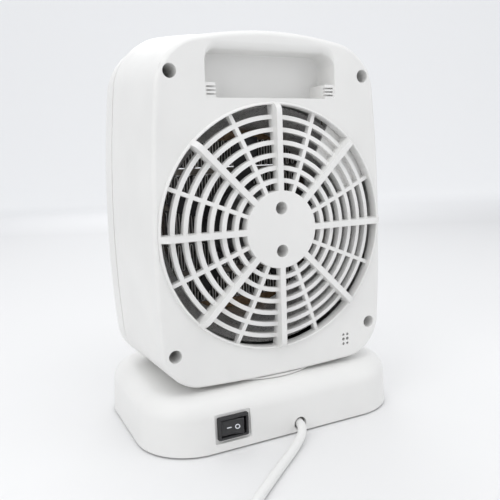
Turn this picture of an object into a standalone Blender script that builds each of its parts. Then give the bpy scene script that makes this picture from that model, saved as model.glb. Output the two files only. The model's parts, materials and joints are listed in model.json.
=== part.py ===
"""Oscillating ceramic (PTC) space heater on a round-cornered base, modelled piece by piece.

Units are metres and +Z is up. The origin is on the floor under the centre of the base. Warm air
leaves towards -Y. The fan draws air in through the round grille on the +Y side, where the handle
pocket, the rocker switch and the mains lead are as well.
"""
import math

import bmesh
import bpy
from mathutils import Vector

GAP = 0.0003                       # clearance between pieces that touch

# Base
BASE_HALF_WIDTH = 0.0946
BASE_HALF_DEPTH = 0.0658
BASE_CORNER = 0.0375
BASE_BOTTOM = 0.0012
BASE_TOP = 0.0356
BASE_EDGE = 0.0130                 # radius of the soft edge round the top
BASE_DRAFT = 0.0012
BASE_WALL = 0.0024
FOOT_PLACES = [(0.058, 0.044), (-0.058, 0.044), (-0.058, -0.044), (0.058, -0.044)]
BASE_SCREW_PLACES = [(0.070, 0.040), (-0.070, 0.040), (-0.070, -0.040), (0.070, -0.040)]

# Rocker switch on the base's rear wall
SWITCH_X = 0.0425
SWITCH_Z = 0.0160
SWITCH_BEZEL = (0.0210, 0.0150)
SWITCH_RECESS = (0.0247, 0.0190)
ROCKER_TILT = -8                   # degrees from the middle: the -X end stands out
ROCKER_PIVOT_Y = 0.0600

# Head: a rounded, slightly bowed box that narrows towards the rear
HEAD_BOTTOM = 0.0374
HEAD_TOP = 0.2682
HEAD_MIDDLE = 0.1500
SEAM_Y = -0.0220
REAR_Y = 0.0506
FRONT_Y = -0.0480
HEAD_WALL = 0.0022
REAR_EDGE = 0.0030                 # fillet round the rear face: at the sides,
TOP_EDGE_EXTRA = 0.0010            # wider along the top
LOW_EDGE_EXTRA = -0.0014           # and tighter along the bottom
FRONT_EDGE = 0.0140
TOP_CORNER = 0.0267
BOTTOM_CORNER = 0.0251

# Rear grille
FAN_Z = 0.1355
HUB_RADIUS = 0.0249
HUB_RISE = 0.0070                  # how far the hub and fins stand out of the rear face
LIP_RADIUS = 0.0781
LIP_RISE = 0.0016
LIP_WALL = 0.0012
LIP_DEEP_Y = 0.0450                # the lip's wall reaches in to this depth
RING_COUNT = 6
RING_FIRST = 0.0312
RING_PITCH = 0.0079
RING_WIDTH = 0.0028
RING_DEPTH = 0.0045
DOME_RISE = 0.00646                # the rings lie on a shallow dome: rise - curve * radius^2
DOME_CURVE = 1.344
FIN_WIDTH = 0.0038
SPOKE_WIDTH = 0.0025
SECTOR = 22.5                      # degrees between a fin and the next thin spoke
HUB_HOLE_OFFSET = 0.01374
SCREW_HOLE = 0.0041                # radius of the screw tunnels
SHANK_HOLE = 0.0018
CORNER_SCREWS = [(0.0673, 0.2323), (-0.0673, 0.2323), (0.0728, 0.0622), (-0.0728, 0.0622)]

# Handle pocket in the rear cover
POCKET_HALF_WIDTH = 0.0455
POCKET_LOW = 0.2175
POCKET_HIGH = 0.2460
POCKET_DEPTH = 0.0200
POCKET_TOP_CORNER = 0.0085
POCKET_LOW_CORNER = 0.0014
BLOCK_WIDTH = 0.0070               # slotted blocks in the pocket's two lower corners
BLOCK_HEIGHT = 0.0090
BLOCK_SETBACK = 0.0010
SLOT_PITCH = 0.0022

# Air path
DUCT_RADIUS = 0.0660
FAN_RADIUS = 0.0600
FAN_HUB_RADIUS = 0.0280
HEATER_HALF_WIDTH = 0.0540
HEATER_HALF_HEIGHT = 0.0590
HEATER_FRONT_Y = -0.0340
HEATER_REAR_Y = -0.0140
FIN_ROWS = 5
STRIP_HEIGHT = 0.0040

# Front
OUTLET_Z = 0.1450
OUTLET_HALF_WIDTH = 0.0630
OUTLET_HALF_HEIGHT = 0.0690
BUTTON_X = 0.0220
BUTTON_Z = 0.0620
BUTTON_RADIUS = 0.0070

# Swing drive
MODULE = 0.0015
GEAR_TEETH = 48
SECTOR_TEETH = 17
PINION_TEETH = 12
PINION_X = -(GEAR_TEETH + PINION_TEETH) * MODULE / 2 - 0.0003
GEAR_LOW = 0.0260
GEAR_HIGH = 0.0306
SPINDLE_RADIUS = 0.0120

# Mains lead, on the floor behind the base, the spare length in a coil
CORD_RADIUS = 0.0029
CORD_X = -0.0060
CORD_Z = 0.0065
COIL_CENTRE = (0.0626, 0.1943)
COIL_MEAN_RADIUS = 0.0330
COIL_HALF_WIDTH = 0.0124
COIL_HEIGHT = 0.0119
CORD_ROUTE = [
    (-0.0060, 0.0540, 0.0065), (-0.0060, 0.0612, 0.0065), (-0.0053, 0.0669, 0.0065),
    (-0.0034, 0.0716, 0.0062), (-0.0005, 0.0762, 0.0055), (0.0031, 0.0800, 0.0047),
    (0.0081, 0.0843, 0.0039), (0.0135, 0.0889, 0.0034), (0.0198, 0.0941, 0.0032),
    (0.0262, 0.0993, 0.0031), (0.0416, 0.1122, 0.0031), (0.0568, 0.1255, 0.0031),
    (0.0690, 0.1387, 0.0031), (0.0760, 0.1463, 0.0031),
]
TAIL_ROUTE = [
    (0.0359, 0.2344, 0.0088), (0.0280, 0.2337, 0.0090), (0.0190, 0.2328, 0.0096),
    (0.0110, 0.2319, 0.0100),
]
PLUG_DIRECTION = (-0.994, -0.111)


# ---------------------------------------------------------------- scene and materials

for old in list(bpy.data.objects):
    bpy.data.objects.remove(old, do_unlink=True)

PARTS = bpy.data.collections.new("ceramic_space_heater")
TOOLS = bpy.data.collections.new("cutters")
for collection in (PARTS, TOOLS):
    bpy.context.scene.collection.children.link(collection)


def material(name, colour, roughness, metallic=0.0):
    shade = bpy.data.materials.new(name)
    shade.use_nodes = True
    principled = shade.node_tree.nodes["Principled BSDF"]
    principled.inputs["Base Color"].default_value = (*colour, 1.0)
    principled.inputs["Roughness"].default_value = roughness
    principled.inputs["Metallic"].default_value = metallic
    shade.diffuse_color = (*colour, 1.0)
    return shade


WHITE = material("white_plastic", (0.80, 0.80, 0.79), 0.42)
BLACK = material("black_plastic", (0.02, 0.02, 0.022), 0.40)
RUBBER = material("rubber", (0.05, 0.05, 0.05), 0.85)
CORD_WHITE = material("cord_white", (0.78, 0.78, 0.77), 0.50)
STEEL = material("screw_steel", (0.55, 0.55, 0.56), 0.35, 1.0)
BRASS = material("plug_brass", (0.75, 0.62, 0.35), 0.30, 1.0)
ALUMINIUM = material("aluminium", (0.80, 0.80, 0.81), 0.30, 1.0)
FIN_METAL = material("heater_fins", (0.22, 0.17, 0.13), 0.45, 1.0)
CERAMIC = material("ceramic", (0.62, 0.58, 0.52), 0.70)
PHENOLIC = material("phenolic", (0.06, 0.04, 0.03), 0.55)
MICA = material("mica", (0.52, 0.33, 0.12), 0.50)
NYLON = material("nylon", (0.72, 0.71, 0.66), 0.50)
BOARD = material("circuit_board", (0.05, 0.20, 0.09), 0.50)
LENS = material("lens", (0.85, 0.30, 0.12), 0.15)


# ---------------------------------------------------------------- mesh tools

def as_part(mesh_data, name, shade):
    """Turn a bmesh into one named piece of the heater."""
    bmesh.ops.recalc_face_normals(mesh_data, faces=mesh_data.faces)
    mesh = bpy.data.meshes.new(name)
    mesh_data.to_mesh(mesh)
    mesh_data.free()
    mesh.shade_smooth()
    mesh.set_sharp_from_angle(angle=math.radians(35))
    piece = bpy.data.objects.new(name, mesh)
    mesh.materials.append(shade)
    PARTS.objects.link(piece)
    return piece


def as_tool(mesh_data, name):
    """Turn a bmesh into a hidden solid that a Boolean uses."""
    piece = as_part(mesh_data, name, WHITE)
    PARTS.objects.unlink(piece)
    TOOLS.objects.link(piece)
    piece.hide_render = True
    piece.display_type = "WIRE"
    return piece


def boolean(piece, mesh_data, operation, solver="EXACT"):
    """Cut mesh_data out of the piece, or join it on. The bodies in mesh_data stand apart."""
    tool = as_tool(mesh_data, f"{piece.name}_{operation.lower()}_{len(piece.modifiers)}")
    modifier = piece.modifiers.new(tool.name, "BOOLEAN")
    modifier.operation = operation
    modifier.solver = solver
    modifier.object = tool


def add_box(mesh_data, low, high):
    corners = bmesh.ops.create_cube(mesh_data, size=1.0)["verts"]
    low, high = Vector(low), Vector(high)
    bmesh.ops.scale(mesh_data, vec=high - low, verts=corners)
    bmesh.ops.translate(mesh_data, vec=(low + high) / 2, verts=corners)
    return mesh_data


def add_rod(mesh_data, start, end, radius, sides=16, end_radius=None):
    """A closed cylinder or cone between two points."""
    start, end = Vector(start), Vector(end)
    ring = bmesh.ops.create_cone(mesh_data, cap_ends=True, segments=sides, radius1=radius,
                                 radius2=radius if end_radius is None else end_radius,
                                 depth=(end - start).length)["verts"]
    turn = Vector((0, 0, 1)).rotation_difference(end - start).to_matrix()
    bmesh.ops.rotate(mesh_data, cent=(0, 0, 0), matrix=turn, verts=ring)
    bmesh.ops.translate(mesh_data, vec=(start + end) / 2, verts=ring)
    return mesh_data


def add_stepped(mesh_data, start, direction, profile, sides=12):
    """A closed round solid of (radius, distance along) points about a line."""
    start, direction = Vector(start), Vector(direction)
    across = direction.orthogonal().normalized()
    other = direction.cross(across)
    rings = []
    for radius, along in profile:
        centre = start + direction * along
        rings.append([centre + across * (radius * math.cos(math.tau * k / sides))
                      + other * (radius * math.sin(math.tau * k / sides)) for k in range(sides)])
    return add_loft(mesh_data, rings)


def add_prism(mesh_data, outline, low, high, axis="z"):
    """A flat outline extruded along an axis. The outline is in the other two axes' order."""
    place = {"x": lambda a, b, c: (c, a, b), "y": lambda a, b, c: (a, c, b),
             "z": lambda a, b, c: (a, b, c)}[axis]
    verts = [mesh_data.verts.new(place(a, b, low)) for a, b in outline]
    face = mesh_data.faces.new(verts)
    grown = bmesh.ops.extrude_face_region(mesh_data, geom=[face])["geom"]
    shift = Vector(place(0.0, 0.0, high - low))
    moved = [item for item in grown if isinstance(item, bmesh.types.BMVert)]
    bmesh.ops.translate(mesh_data, vec=shift, verts=moved)
    return mesh_data


def add_loft(mesh_data, rings, cap_first=True, cap_last=True):
    """Skin a row of closed rings that have the same number of points."""
    rows = [[mesh_data.verts.new(point) for point in ring] for ring in rings]
    count = len(rows[0])
    for lower, upper in zip(rows, rows[1:]):
        for k in range(count):
            mesh_data.faces.new((lower[k], lower[(k + 1) % count],
                                 upper[(k + 1) % count], upper[k]))
    if cap_first:
        mesh_data.faces.new(rows[0])
    if cap_last:
        mesh_data.faces.new(rows[-1])
    return mesh_data


def shell(name, rings, shade, thickness, cap_last=False):
    """An open lofted surface, thickened inwards."""
    piece = as_part(add_loft(bmesh.new(), rings, False, cap_last), name, shade)
    thicken = piece.modifiers.new("wall", "SOLIDIFY")
    thicken.thickness = thickness
    thicken.offset = -1.0
    thicken.use_even_offset = True
    return piece


def turned(name, profile, centre, shade, sides=32):
    """A closed profile of (radius, height) points turned about a vertical axis. The profile
    runs down its outer side and up its inner side."""
    data = bmesh.new()
    verts = [data.verts.new((radius, 0.0, height)) for radius, height in profile]
    for first, second in zip(verts, verts[1:] + verts[:1]):
        data.edges.new((first, second))
    mesh = bpy.data.meshes.new(name)
    data.to_mesh(mesh)
    data.free()
    mesh.materials.append(shade)
    piece = bpy.data.objects.new(name, mesh)
    piece.location = centre
    PARTS.objects.link(piece)
    screw = piece.modifiers.new("turn", "SCREW")
    screw.steps = sides
    screw.render_steps = sides
    screw.use_merge_vertices = True
    screw.merge_threshold = 0.00001
    return piece


def add_lattice(mesh_data, counts, is_solid, point):
    """Skin the chosen cells of an i, j, k grid. The j direction closes on itself if wrapped."""
    ni, nj, nk, wrapped = counts
    made = {}

    def vert(i, j, k):
        key = (i, j % nj if wrapped else j, k)
        if key not in made:
            made[key] = mesh_data.verts.new(point(*key))
        return made[key]

    def solid(i, j, k):
        inside = 0 <= i < ni and 0 <= k < nk and (wrapped or 0 <= j < nj)
        return inside and is_solid(i, j % nj if wrapped else j, k)

    sides = [((1, 0, 0), ((1, 0, 0), (1, 1, 0), (1, 1, 1), (1, 0, 1))),
             ((-1, 0, 0), ((0, 0, 0), (0, 0, 1), (0, 1, 1), (0, 1, 0))),
             ((0, 1, 0), ((0, 1, 0), (0, 1, 1), (1, 1, 1), (1, 1, 0))),
             ((0, -1, 0), ((0, 0, 0), (1, 0, 0), (1, 0, 1), (0, 0, 1))),
             ((0, 0, 1), ((0, 0, 1), (1, 0, 1), (1, 1, 1), (0, 1, 1))),
             ((0, 0, -1), ((0, 0, 0), (0, 1, 0), (1, 1, 0), (1, 0, 0)))]
    for i in range(ni):
        for j in range(nj):
            for k in range(nk):
                if not solid(i, j, k):
                    continue
                for (di, dj, dk), corners in sides:
                    if not solid(i + di, j + dj, k + dk):
                        mesh_data.faces.new([vert(i + a, j + b, k + c) for a, b, c in corners])
    return mesh_data


# ---------------------------------------------------------------- outlines

def blend(start, end, share):
    return start + (end - start) * share


def rounded_rectangle(half_x, half_y, radius, steps=6):
    """Points round a rectangle with arc corners, anticlockwise from the +X side."""
    points = []
    for corner, (sign_x, sign_y) in enumerate([(1, 1), (-1, 1), (-1, -1), (1, -1)]):
        for step in range(steps + 1):
            angle = math.radians(90 * corner + 90 * step / steps)
            points.append((sign_x * (half_x - radius) + radius * math.cos(angle),
                           sign_y * (half_y - radius) + radius * math.sin(angle)))
    return points


def head_distance(x, z, y):
    """Distance from the head's outline at depth y: negative inside."""
    back = max(0.0, (y - SEAM_Y) / (REAR_Y - SEAM_Y))
    front = max(0.0, (SEAM_Y - y) / (SEAM_Y - FRONT_Y))
    top = HEAD_TOP - 0.0108 * back - 0.0040 * front
    height = (z - HEAD_BOTTOM) / (top - HEAD_BOTTOM)
    half_width = blend(0.0836, 0.0770, height) - 0.0042 * back + 0.0019 * front
    half_width += (0.0077 - 0.0019 * back) * (1 - (2 * height - 1) ** 2)
    crown = (x / half_width) ** 2
    if z > HEAD_MIDDLE:
        radius = TOP_CORNER - 0.0040 * back
        along = z - top + 0.0109 * crown + radius
    else:
        radius = BOTTOM_CORNER - 0.0016 * back
        along = HEAD_BOTTOM + (0.0004 + 0.0026 * back) * crown - z + radius
    across = abs(x) - half_width + radius
    outside = math.hypot(max(across, 0.0), max(along, 0.0))
    return min(max(across, along), 0.0) + outside - radius


def outlet_distance(x, z):
    """Distance from the outline of the front outlet: negative inside."""
    radius = 0.016
    across = abs(x) - OUTLET_HALF_WIDTH + radius
    along = abs(z - OUTLET_Z) - OUTLET_HALF_HEIGHT + radius
    outside = math.hypot(max(across, 0.0), max(along, 0.0))
    return min(max(across, along), 0.0) + outside - radius


def reach(angle, centre_z, distance, inset=0.0):
    """How far a ray from (0, centre_z) goes before it is inset inside an outline."""
    near, far = 0.0, 0.3
    for _ in range(40):
        middle = (near + far) / 2
        x, z = middle * math.cos(angle), centre_z + middle * math.sin(angle)
        if distance(x, z) < -inset:
            near = middle
        else:
            far = middle
    return near


def ring_of(radii, centre_z, depths):
    """A ring of points at the given radii and depths, one for each ray."""
    count = len(radii)
    return [(radius * math.cos(math.tau * k / count), depth,
             centre_z + radius * math.sin(math.tau * k / count))
            for k, (radius, depth) in enumerate(zip(radii, depths))]


def catmull_rom(route, spacing):
    """Evenly spaced points on one smooth curve through the route's points."""
    points = [Vector(point) for point in route]
    points = [2 * points[0] - points[1], *points, 2 * points[-1] - points[-2]]
    fine = []
    for before, start, end, after in zip(points, points[1:], points[2:], points[3:]):
        for step in range(24):
            t = step / 24
            fine.append(0.5 * (2 * start + (end - before) * t
                               + (2 * before - 5 * start + 4 * end - after) * t ** 2
                               + (3 * start - before - 3 * end + after) * t ** 3))
    fine.append(points[-2])
    lengths = [0.0]
    for first, second in zip(fine, fine[1:]):
        lengths.append(lengths[-1] + (second - first).length)
    count = max(2, round(lengths[-1] / spacing))
    evenly, index = [], 0
    for step in range(count + 1):
        wanted = lengths[-1] * step / count
        while index < len(lengths) - 2 and lengths[index + 1] < wanted:
            index += 1
        share = (wanted - lengths[index]) / (lengths[index + 1] - lengths[index])
        evenly.append(fine[index].lerp(fine[index + 1], share))
    return evenly


# ---------------------------------------------------------------- base

def make_base_shell():
    edge_z = BASE_TOP - BASE_EDGE
    sections = [(BASE_BOTTOM, 0.0), (edge_z, BASE_DRAFT)]
    for step in range(1, 6):
        angle = math.radians(90 * step / 5)
        sections.append((edge_z + BASE_EDGE * math.sin(angle),
                         BASE_DRAFT + BASE_EDGE * (1 - math.cos(angle))))
    rings = []
    for z, inset in sections:
        outline = rounded_rectangle(BASE_HALF_WIDTH - inset, BASE_HALF_DEPTH - inset,
                                    BASE_CORNER - inset, 7)
        rings.append([(x, y, z) for x, y in outline])
    base = shell("base_shell", rings, WHITE, BASE_WALL, cap_last=True)
    posts = bmesh.new()
    for x, y in BASE_SCREW_PLACES:
        add_rod(posts, (x, y, 0.0043), (x, y, BASE_TOP - BASE_WALL / 2), 0.0045, 12)
    boolean(base, posts, "UNION")
    holes = bmesh.new()
    for x, y in BASE_SCREW_PLACES:
        add_rod(holes, (x, y, 0.0), (x, y, 0.0185), 0.0018, 8)
    add_rod(holes, (0, 0, 0.02), (0, 0, 0.05), 0.0164, 32)
    add_rod(holes, (CORD_X, 0.05, CORD_Z), (CORD_X, 0.08, CORD_Z), 0.0043, 16)
    wide, high = SWITCH_RECESS
    add_box(holes, (SWITCH_X - wide / 2, BASE_HALF_DEPTH - 0.0022, SWITCH_Z - high / 2),
            (SWITCH_X + wide / 2, BASE_HALF_DEPTH + 0.01, SWITCH_Z + high / 2))
    boolean(base, holes, "DIFFERENCE")
    opening = bmesh.new()
    add_box(opening, (SWITCH_X - 0.0100, 0.04, SWITCH_Z - 0.0070),
            (SWITCH_X + 0.0100, 0.08, SWITCH_Z + 0.0070))
    boolean(base, opening, "DIFFERENCE")


def make_base_plate():
    outline = rounded_rectangle(BASE_HALF_WIDTH - 0.0030, BASE_HALF_DEPTH - 0.0030,
                                BASE_CORNER - 0.0030)
    plate = as_part(add_prism(bmesh.new(), outline, 0.0015, 0.0032), "base_plate", WHITE)
    holes = bmesh.new()
    for x, y in BASE_SCREW_PLACES:
        add_rod(holes, (x, y, 0.0), (x, y, 0.01), 0.0019, 8)
    boolean(plate, holes, "DIFFERENCE")


def make_feet_and_base_screws():
    for number, (x, y) in enumerate(FOOT_PLACES, 1):
        foot = add_rod(bmesh.new(), (x, y, 0.0), (x, y, 0.0012), 0.0070, 16)
        as_part(foot, f"foot_{number}", RUBBER)
    for number, (x, y) in enumerate(BASE_SCREW_PLACES, 1):
        as_part(screw_body((x, y, 0.0012), (0, 0, 1), 0.0031, 0.0007, 0.0170),
                f"base_screw_{number}", STEEL)


def screw_body(seat, direction, head_radius, head_height, length):
    """A pan-head screw: the head sits behind the seat and the shank runs along direction."""
    profile = [(head_radius * 0.7, -head_height), (head_radius, -head_height * 0.55),
               (head_radius, 0.0), (0.0015, 0.0), (0.0015, length - 0.002), (0.0006, length)]
    return add_stepped(bmesh.new(), seat, direction, profile, 10)


def make_switch():
    wide, high = SWITCH_BEZEL
    floor_y = BASE_HALF_DEPTH - 0.0022
    body = add_box(bmesh.new(), (SWITCH_X - wide / 2, floor_y + GAP, SWITCH_Z - high / 2),
                   (SWITCH_X + wide / 2, floor_y + 0.0030, SWITCH_Z + high / 2))
    housing = as_part(body, "switch_housing", BLACK)
    behind = add_box(bmesh.new(), (SWITCH_X - 0.0096, 0.0470, SWITCH_Z - 0.0066),
                     (SWITCH_X + 0.0096, floor_y + 0.0010, SWITCH_Z + 0.0066))
    boolean(housing, behind, "UNION")
    room = add_box(bmesh.new(), (SWITCH_X - 0.0085, 0.0520, SWITCH_Z - 0.0055),
                   (SWITCH_X + 0.0085, 0.0800, SWITCH_Z + 0.0055))
    boolean(housing, room, "DIFFERENCE")

    face_y = 0.0058                # from the pivot to the middle of the rocker's face
    outline = [(-0.0073, face_y + 0.0010), (0.0, face_y - 0.0001), (0.0073, face_y + 0.0010),
               (0.0070, 0.0010), (0.0030, -0.0040), (-0.0030, -0.0040), (-0.0070, 0.0010)]
    tilt = math.radians(ROCKER_TILT)
    tilted = [(SWITCH_X + x * math.cos(tilt) - y * math.sin(tilt),
               ROCKER_PIVOT_Y + x * math.sin(tilt) + y * math.cos(tilt)) for x, y in outline]
    rocker = add_prism(bmesh.new(), tilted, SWITCH_Z - 0.0050, SWITCH_Z + 0.0050)
    as_part(rocker, "rocker", BLACK)


def make_cord_clamp():
    clamp = as_part(add_box(bmesh.new(), (CORD_X - 0.0080, 0.0545, 0.0040),
                            (CORD_X + 0.0080, 0.0600, 0.0120)), "cord_clamp", NYLON)
    bore = add_rod(bmesh.new(), (CORD_X, 0.04, CORD_Z), (CORD_X, 0.08, CORD_Z),
                   CORD_RADIUS + 2 * GAP, 16)
    boolean(clamp, bore, "DIFFERENCE")


# ---------------------------------------------------------------- swing drive

def gear_outline(teeth, first, last, root_blank):
    """Involute teeth number first to last; root_blank is the radius where there are none."""
    pitch = teeth * MODULE / 2
    base = pitch * math.cos(math.radians(20))
    tip = pitch + 0.95 * MODULE
    root = pitch - 1.25 * MODULE
    half_tooth = math.pi / (2 * teeth) - 0.00012 / pitch

    def roll(radius):
        angle = math.acos(min(1.0, base / radius))
        return math.tan(angle) - angle

    flank = [max(base, root)]
    flank += [blend(flank[0], tip, share) for share in (0.35, 0.7, 1.0)]
    points = []
    for tooth in range(first, last + 1):
        middle = math.tau * tooth / teeth
        rising = [(radius, middle - half_tooth - roll(pitch) + roll(radius)) for radius in flank]
        falling = [(radius, 2 * middle - angle) for radius, angle in reversed(rising)]
        foot = min(root, flank[0] - 0.00001)
        points += [(foot, rising[0][1]), *rising, *falling, (foot, falling[-1][1])]
    if root_blank:
        start = points[-1][1]
        sweep = points[0][1] + math.tau - start
        points += [(root_blank, start + sweep * step / 14) for step in range(15)]
    return [(radius * math.cos(angle), radius * math.sin(angle)) for radius, angle in points]


def make_swing_drive():
    first = GEAR_TEETH // 2 - SECTOR_TEETH // 2
    outline = gear_outline(GEAR_TEETH, first, first + SECTOR_TEETH - 1, 0.0200)
    gear = as_part(add_prism(bmesh.new(), outline, GEAR_LOW, GEAR_HIGH), "swing_gear", NYLON)
    bore = add_rod(bmesh.new(), (0, 0, 0), (0, 0, 0.05), SPINDLE_RADIUS + GAP, 32)
    boolean(gear, bore, "DIFFERENCE")

    # The pinion has a gap between teeth on the line of centres, where the gear has a tooth.
    outline = gear_outline(PINION_TEETH, 0, PINION_TEETH - 1, None)
    turn = math.pi / PINION_TEETH
    placed = [(PINION_X + x * math.cos(turn) - y * math.sin(turn),
               x * math.sin(turn) + y * math.cos(turn)) for x, y in outline]
    pinion = as_part(add_prism(bmesh.new(), placed, GEAR_LOW - 0.0006, GEAR_HIGH + 0.0004),
                     "drive_pinion", NYLON)
    bore = add_rod(bmesh.new(), (PINION_X, 0, 0), (PINION_X, 0, 0.05), 0.0023, 16)
    boolean(pinion, bore, "DIFFERENCE")

    motor = as_part(add_rod(bmesh.new(), (PINION_X, 0, 0.0042), (PINION_X, 0, 0.0215), 0.0245, 28),
                    "swing_motor", STEEL)
    shaft = add_rod(bmesh.new(), (PINION_X, 0, 0.0200), (PINION_X, 0, 0.0322), 0.0020, 12)
    add_box(shaft, (PINION_X - 0.0050, 0.0230, 0.0060), (PINION_X + 0.0050, 0.0290, 0.0150))
    boolean(motor, shaft, "UNION")

    turned("turntable", [(0.0520, 0.0371), (0.0520, 0.0363), (0.0516, 0.0359),
                         (SPINDLE_RADIUS, 0.0359), (SPINDLE_RADIUS, 0.0222),
                         (0.0090, 0.0222), (0.0090, 0.0371)], (0, 0, 0), WHITE, 40)
    turned("swing_bush", [(0.0160, 0.0356), (0.0160, 0.0314), (0.0124, 0.0314),
                          (0.0124, 0.0356)], (0, 0, 0), NYLON)
    turned("spindle_clip", [(0.0150, 0.0252), (0.0150, 0.0240), (0.0123, 0.0240),
                            (0.0123, 0.0252)], (0, 0, 0), STEEL, 24)


# ---------------------------------------------------------------- head shells

RAYS = 64


def rear_edge(angle, wall):
    """Fillet radius of the rear edge along one ray, on the surface a wall inside the outer one."""
    tilt = math.sin(angle)
    extra = TOP_EDGE_EXTRA if tilt > 0 else LOW_EDGE_EXTRA
    return max(REAR_EDGE + extra * tilt ** 2 - wall, 0.0005)


def rear_rings(wall, lip_radius):
    """Rings from the seam to the lip on the surface that lies a wall inside the outer one."""
    angles = [math.tau * k / RAYS for k in range(RAYS)]
    edges = [rear_edge(angle, wall) for angle in angles]
    starts = [REAR_Y - wall - edge for edge in edges]

    def outline(depths, insets):
        return [reach(angle, FAN_Z, lambda x, z: head_distance(x, z, depth), inset)
                for angle, depth, inset in zip(angles, depths, insets)]

    walls = [wall] * RAYS
    seam = [SEAM_Y] * RAYS
    rings = [ring_of(outline(seam, walls), FAN_Z, seam),
             ring_of(outline(starts, walls), FAN_Z, starts)]
    for step in range(1, 4):
        turn = 1 - math.cos(math.radians(88 * step / 3))
        insets = [wall + edge * turn for edge in edges]
        radii = [max(radius, lip_radius + 0.0002 * (4 - step))
                 for radius in outline(starts, insets)]
        depths = []
        for radius, angle, edge, start in zip(radii, angles, edges, starts):
            x, z = radius * math.cos(angle), FAN_Z + radius * math.sin(angle)
            into = min(edge, max(0.0, -head_distance(x, z, start) - wall))
            depths.append(start + math.sqrt(edge ** 2 - (edge - into) ** 2))
        rings.append(ring_of(radii, FAN_Z, depths))
    return rings


def make_rear_cover():
    rings = rear_rings(0.0, LIP_RADIUS + 0.0018)
    for radius, y in ((LIP_RADIUS + 0.0018, REAR_Y - 0.0004),
                      (LIP_RADIUS + 0.0012, REAR_Y + LIP_RISE),
                      (LIP_RADIUS, REAR_Y + LIP_RISE), (LIP_RADIUS, LIP_DEEP_Y),
                      (LIP_RADIUS + LIP_WALL, LIP_DEEP_Y),
                      (LIP_RADIUS + LIP_WALL, REAR_Y - HEAD_WALL - 0.0008)):
        rings.append(ring_of([radius] * RAYS, FAN_Z, [y] * RAYS))
    rings += reversed(rear_rings(HEAD_WALL, LIP_RADIUS + LIP_WALL))
    skin = add_loft(bmesh.new(), rings + rings[:1], False, False)
    bmesh.ops.remove_doubles(skin, verts=skin.verts, dist=1e-7)
    cover = as_part(skin, "rear_cover", WHITE)

    boolean(cover, grille_lattice(), "UNION")
    solids = add_rod(bmesh.new(), (0, REAR_Y - 0.0005, FAN_Z), (0, REAR_Y + HUB_RISE, FAN_Z),
                     HUB_RADIUS, 48)
    boolean(cover, solids, "UNION")
    posts = bmesh.new()
    for x, z in CORNER_SCREWS:
        add_rod(posts, (x, 0.0, z), (x, REAR_Y - 0.0012, z), 0.0064, 16)
    for side in (-1, 1):
        z = FAN_Z + side * HUB_HOLE_OFFSET
        add_rod(posts, (0, 0.0420, z), (0, REAR_Y + 0.0030, z), 0.0056, 12)
    add_box(posts, (-POCKET_HALF_WIDTH - 0.0022, REAR_Y - POCKET_DEPTH - 0.0022,
                    POCKET_LOW - 0.0022),
            (POCKET_HALF_WIDTH + 0.0022, REAR_Y - 0.0011, POCKET_HIGH + 0.0022))
    boolean(cover, posts, "UNION")

    cuts = bmesh.new()
    for x, z in CORNER_SCREWS:
        add_stepped(cuts, (x, 0, z), (0, 1, 0), [(SHANK_HOLE, -0.0100), (SHANK_HOLE, 0.0020),
                                                 (SCREW_HOLE, 0.0020), (SCREW_HOLE, 0.0800)])
    for side in (-1, 1):
        add_stepped(cuts, (0, 0, FAN_Z + side * HUB_HOLE_OFFSET), (0, 1, 0),
                    [(SHANK_HOLE, 0.0300), (SHANK_HOLE, 0.0440), (0.0040, 0.0440),
                     (0.0040, 0.0800)])
    for x in (-0.0546, -0.0513):
        for z in (0.0492, 0.0525, 0.0558):
            add_rod(cuts, (x, 0.04, z), (x, 0.07, z), 0.0009, 8)
    add_rod(cuts, (0, 0, 0.03), (0, 0, 0.05), 0.0090, 16)
    boolean(cover, cuts, "DIFFERENCE")
    cut_pocket(cover)


def pocket_outline(low_half_width, low_corner, low):
    """The pocket's outline with large upper corners, from a lower edge at height low."""
    points = []
    corners = [(1, 1, POCKET_HALF_WIDTH, POCKET_HIGH, POCKET_TOP_CORNER),
               (-1, 1, POCKET_HALF_WIDTH, POCKET_HIGH, POCKET_TOP_CORNER),
               (-1, -1, low_half_width, low, low_corner), (1, -1, low_half_width, low, low_corner)]
    for number, (side, up, half_width, edge_z, radius) in enumerate(corners):
        steps = 5 if up > 0 else 2
        for step in range(steps + 1):
            angle = math.radians(90 * number + 90 * step / steps)
            points.append((side * (half_width - radius) + radius * math.cos(angle),
                           edge_z - up * radius + radius * math.sin(angle)))
    return points


def cut_pocket(cover):
    """Cut the finger pocket, leaving a slotted block in each of its lower corners."""
    block_top = POCKET_LOW + BLOCK_HEIGHT
    back = REAR_Y - POCKET_DEPTH
    front = REAR_Y - BLOCK_SETBACK
    whole = pocket_outline(POCKET_HALF_WIDTH, POCKET_LOW_CORNER, POCKET_LOW)
    upper = pocket_outline(POCKET_HALF_WIDTH, POCKET_LOW_CORNER, block_top)
    middle = [(-POCKET_HALF_WIDTH + BLOCK_WIDTH, POCKET_LOW),
              (POCKET_HALF_WIDTH - BLOCK_WIDTH, POCKET_LOW),
              (POCKET_HALF_WIDTH - BLOCK_WIDTH, block_top + 0.0050),
              (-POCKET_HALF_WIDTH + BLOCK_WIDTH, block_top + 0.0050)]
    for outline, start in ((whole, front), (upper, back), (middle, back)):
        boolean(cover, add_prism(bmesh.new(), outline, start, 0.08, "y"),
                "DIFFERENCE", "MANIFOLD")      # EXACT leaves open edges on these cuts
    slots = bmesh.new()
    for side in (-1, 1):
        for row in range(3):
            low = POCKET_LOW + 0.0016 + SLOT_PITCH * row
            ends = sorted((side * (POCKET_HALF_WIDTH - 0.0008),
                           side * (POCKET_HALF_WIDTH - BLOCK_WIDTH - 0.0010)))
            add_box(slots, (ends[0], front - 0.0040, low), (ends[1], front + 0.0004, low + 0.0011))
    boolean(cover, slots, "DIFFERENCE", "MANIFOLD")


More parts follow.
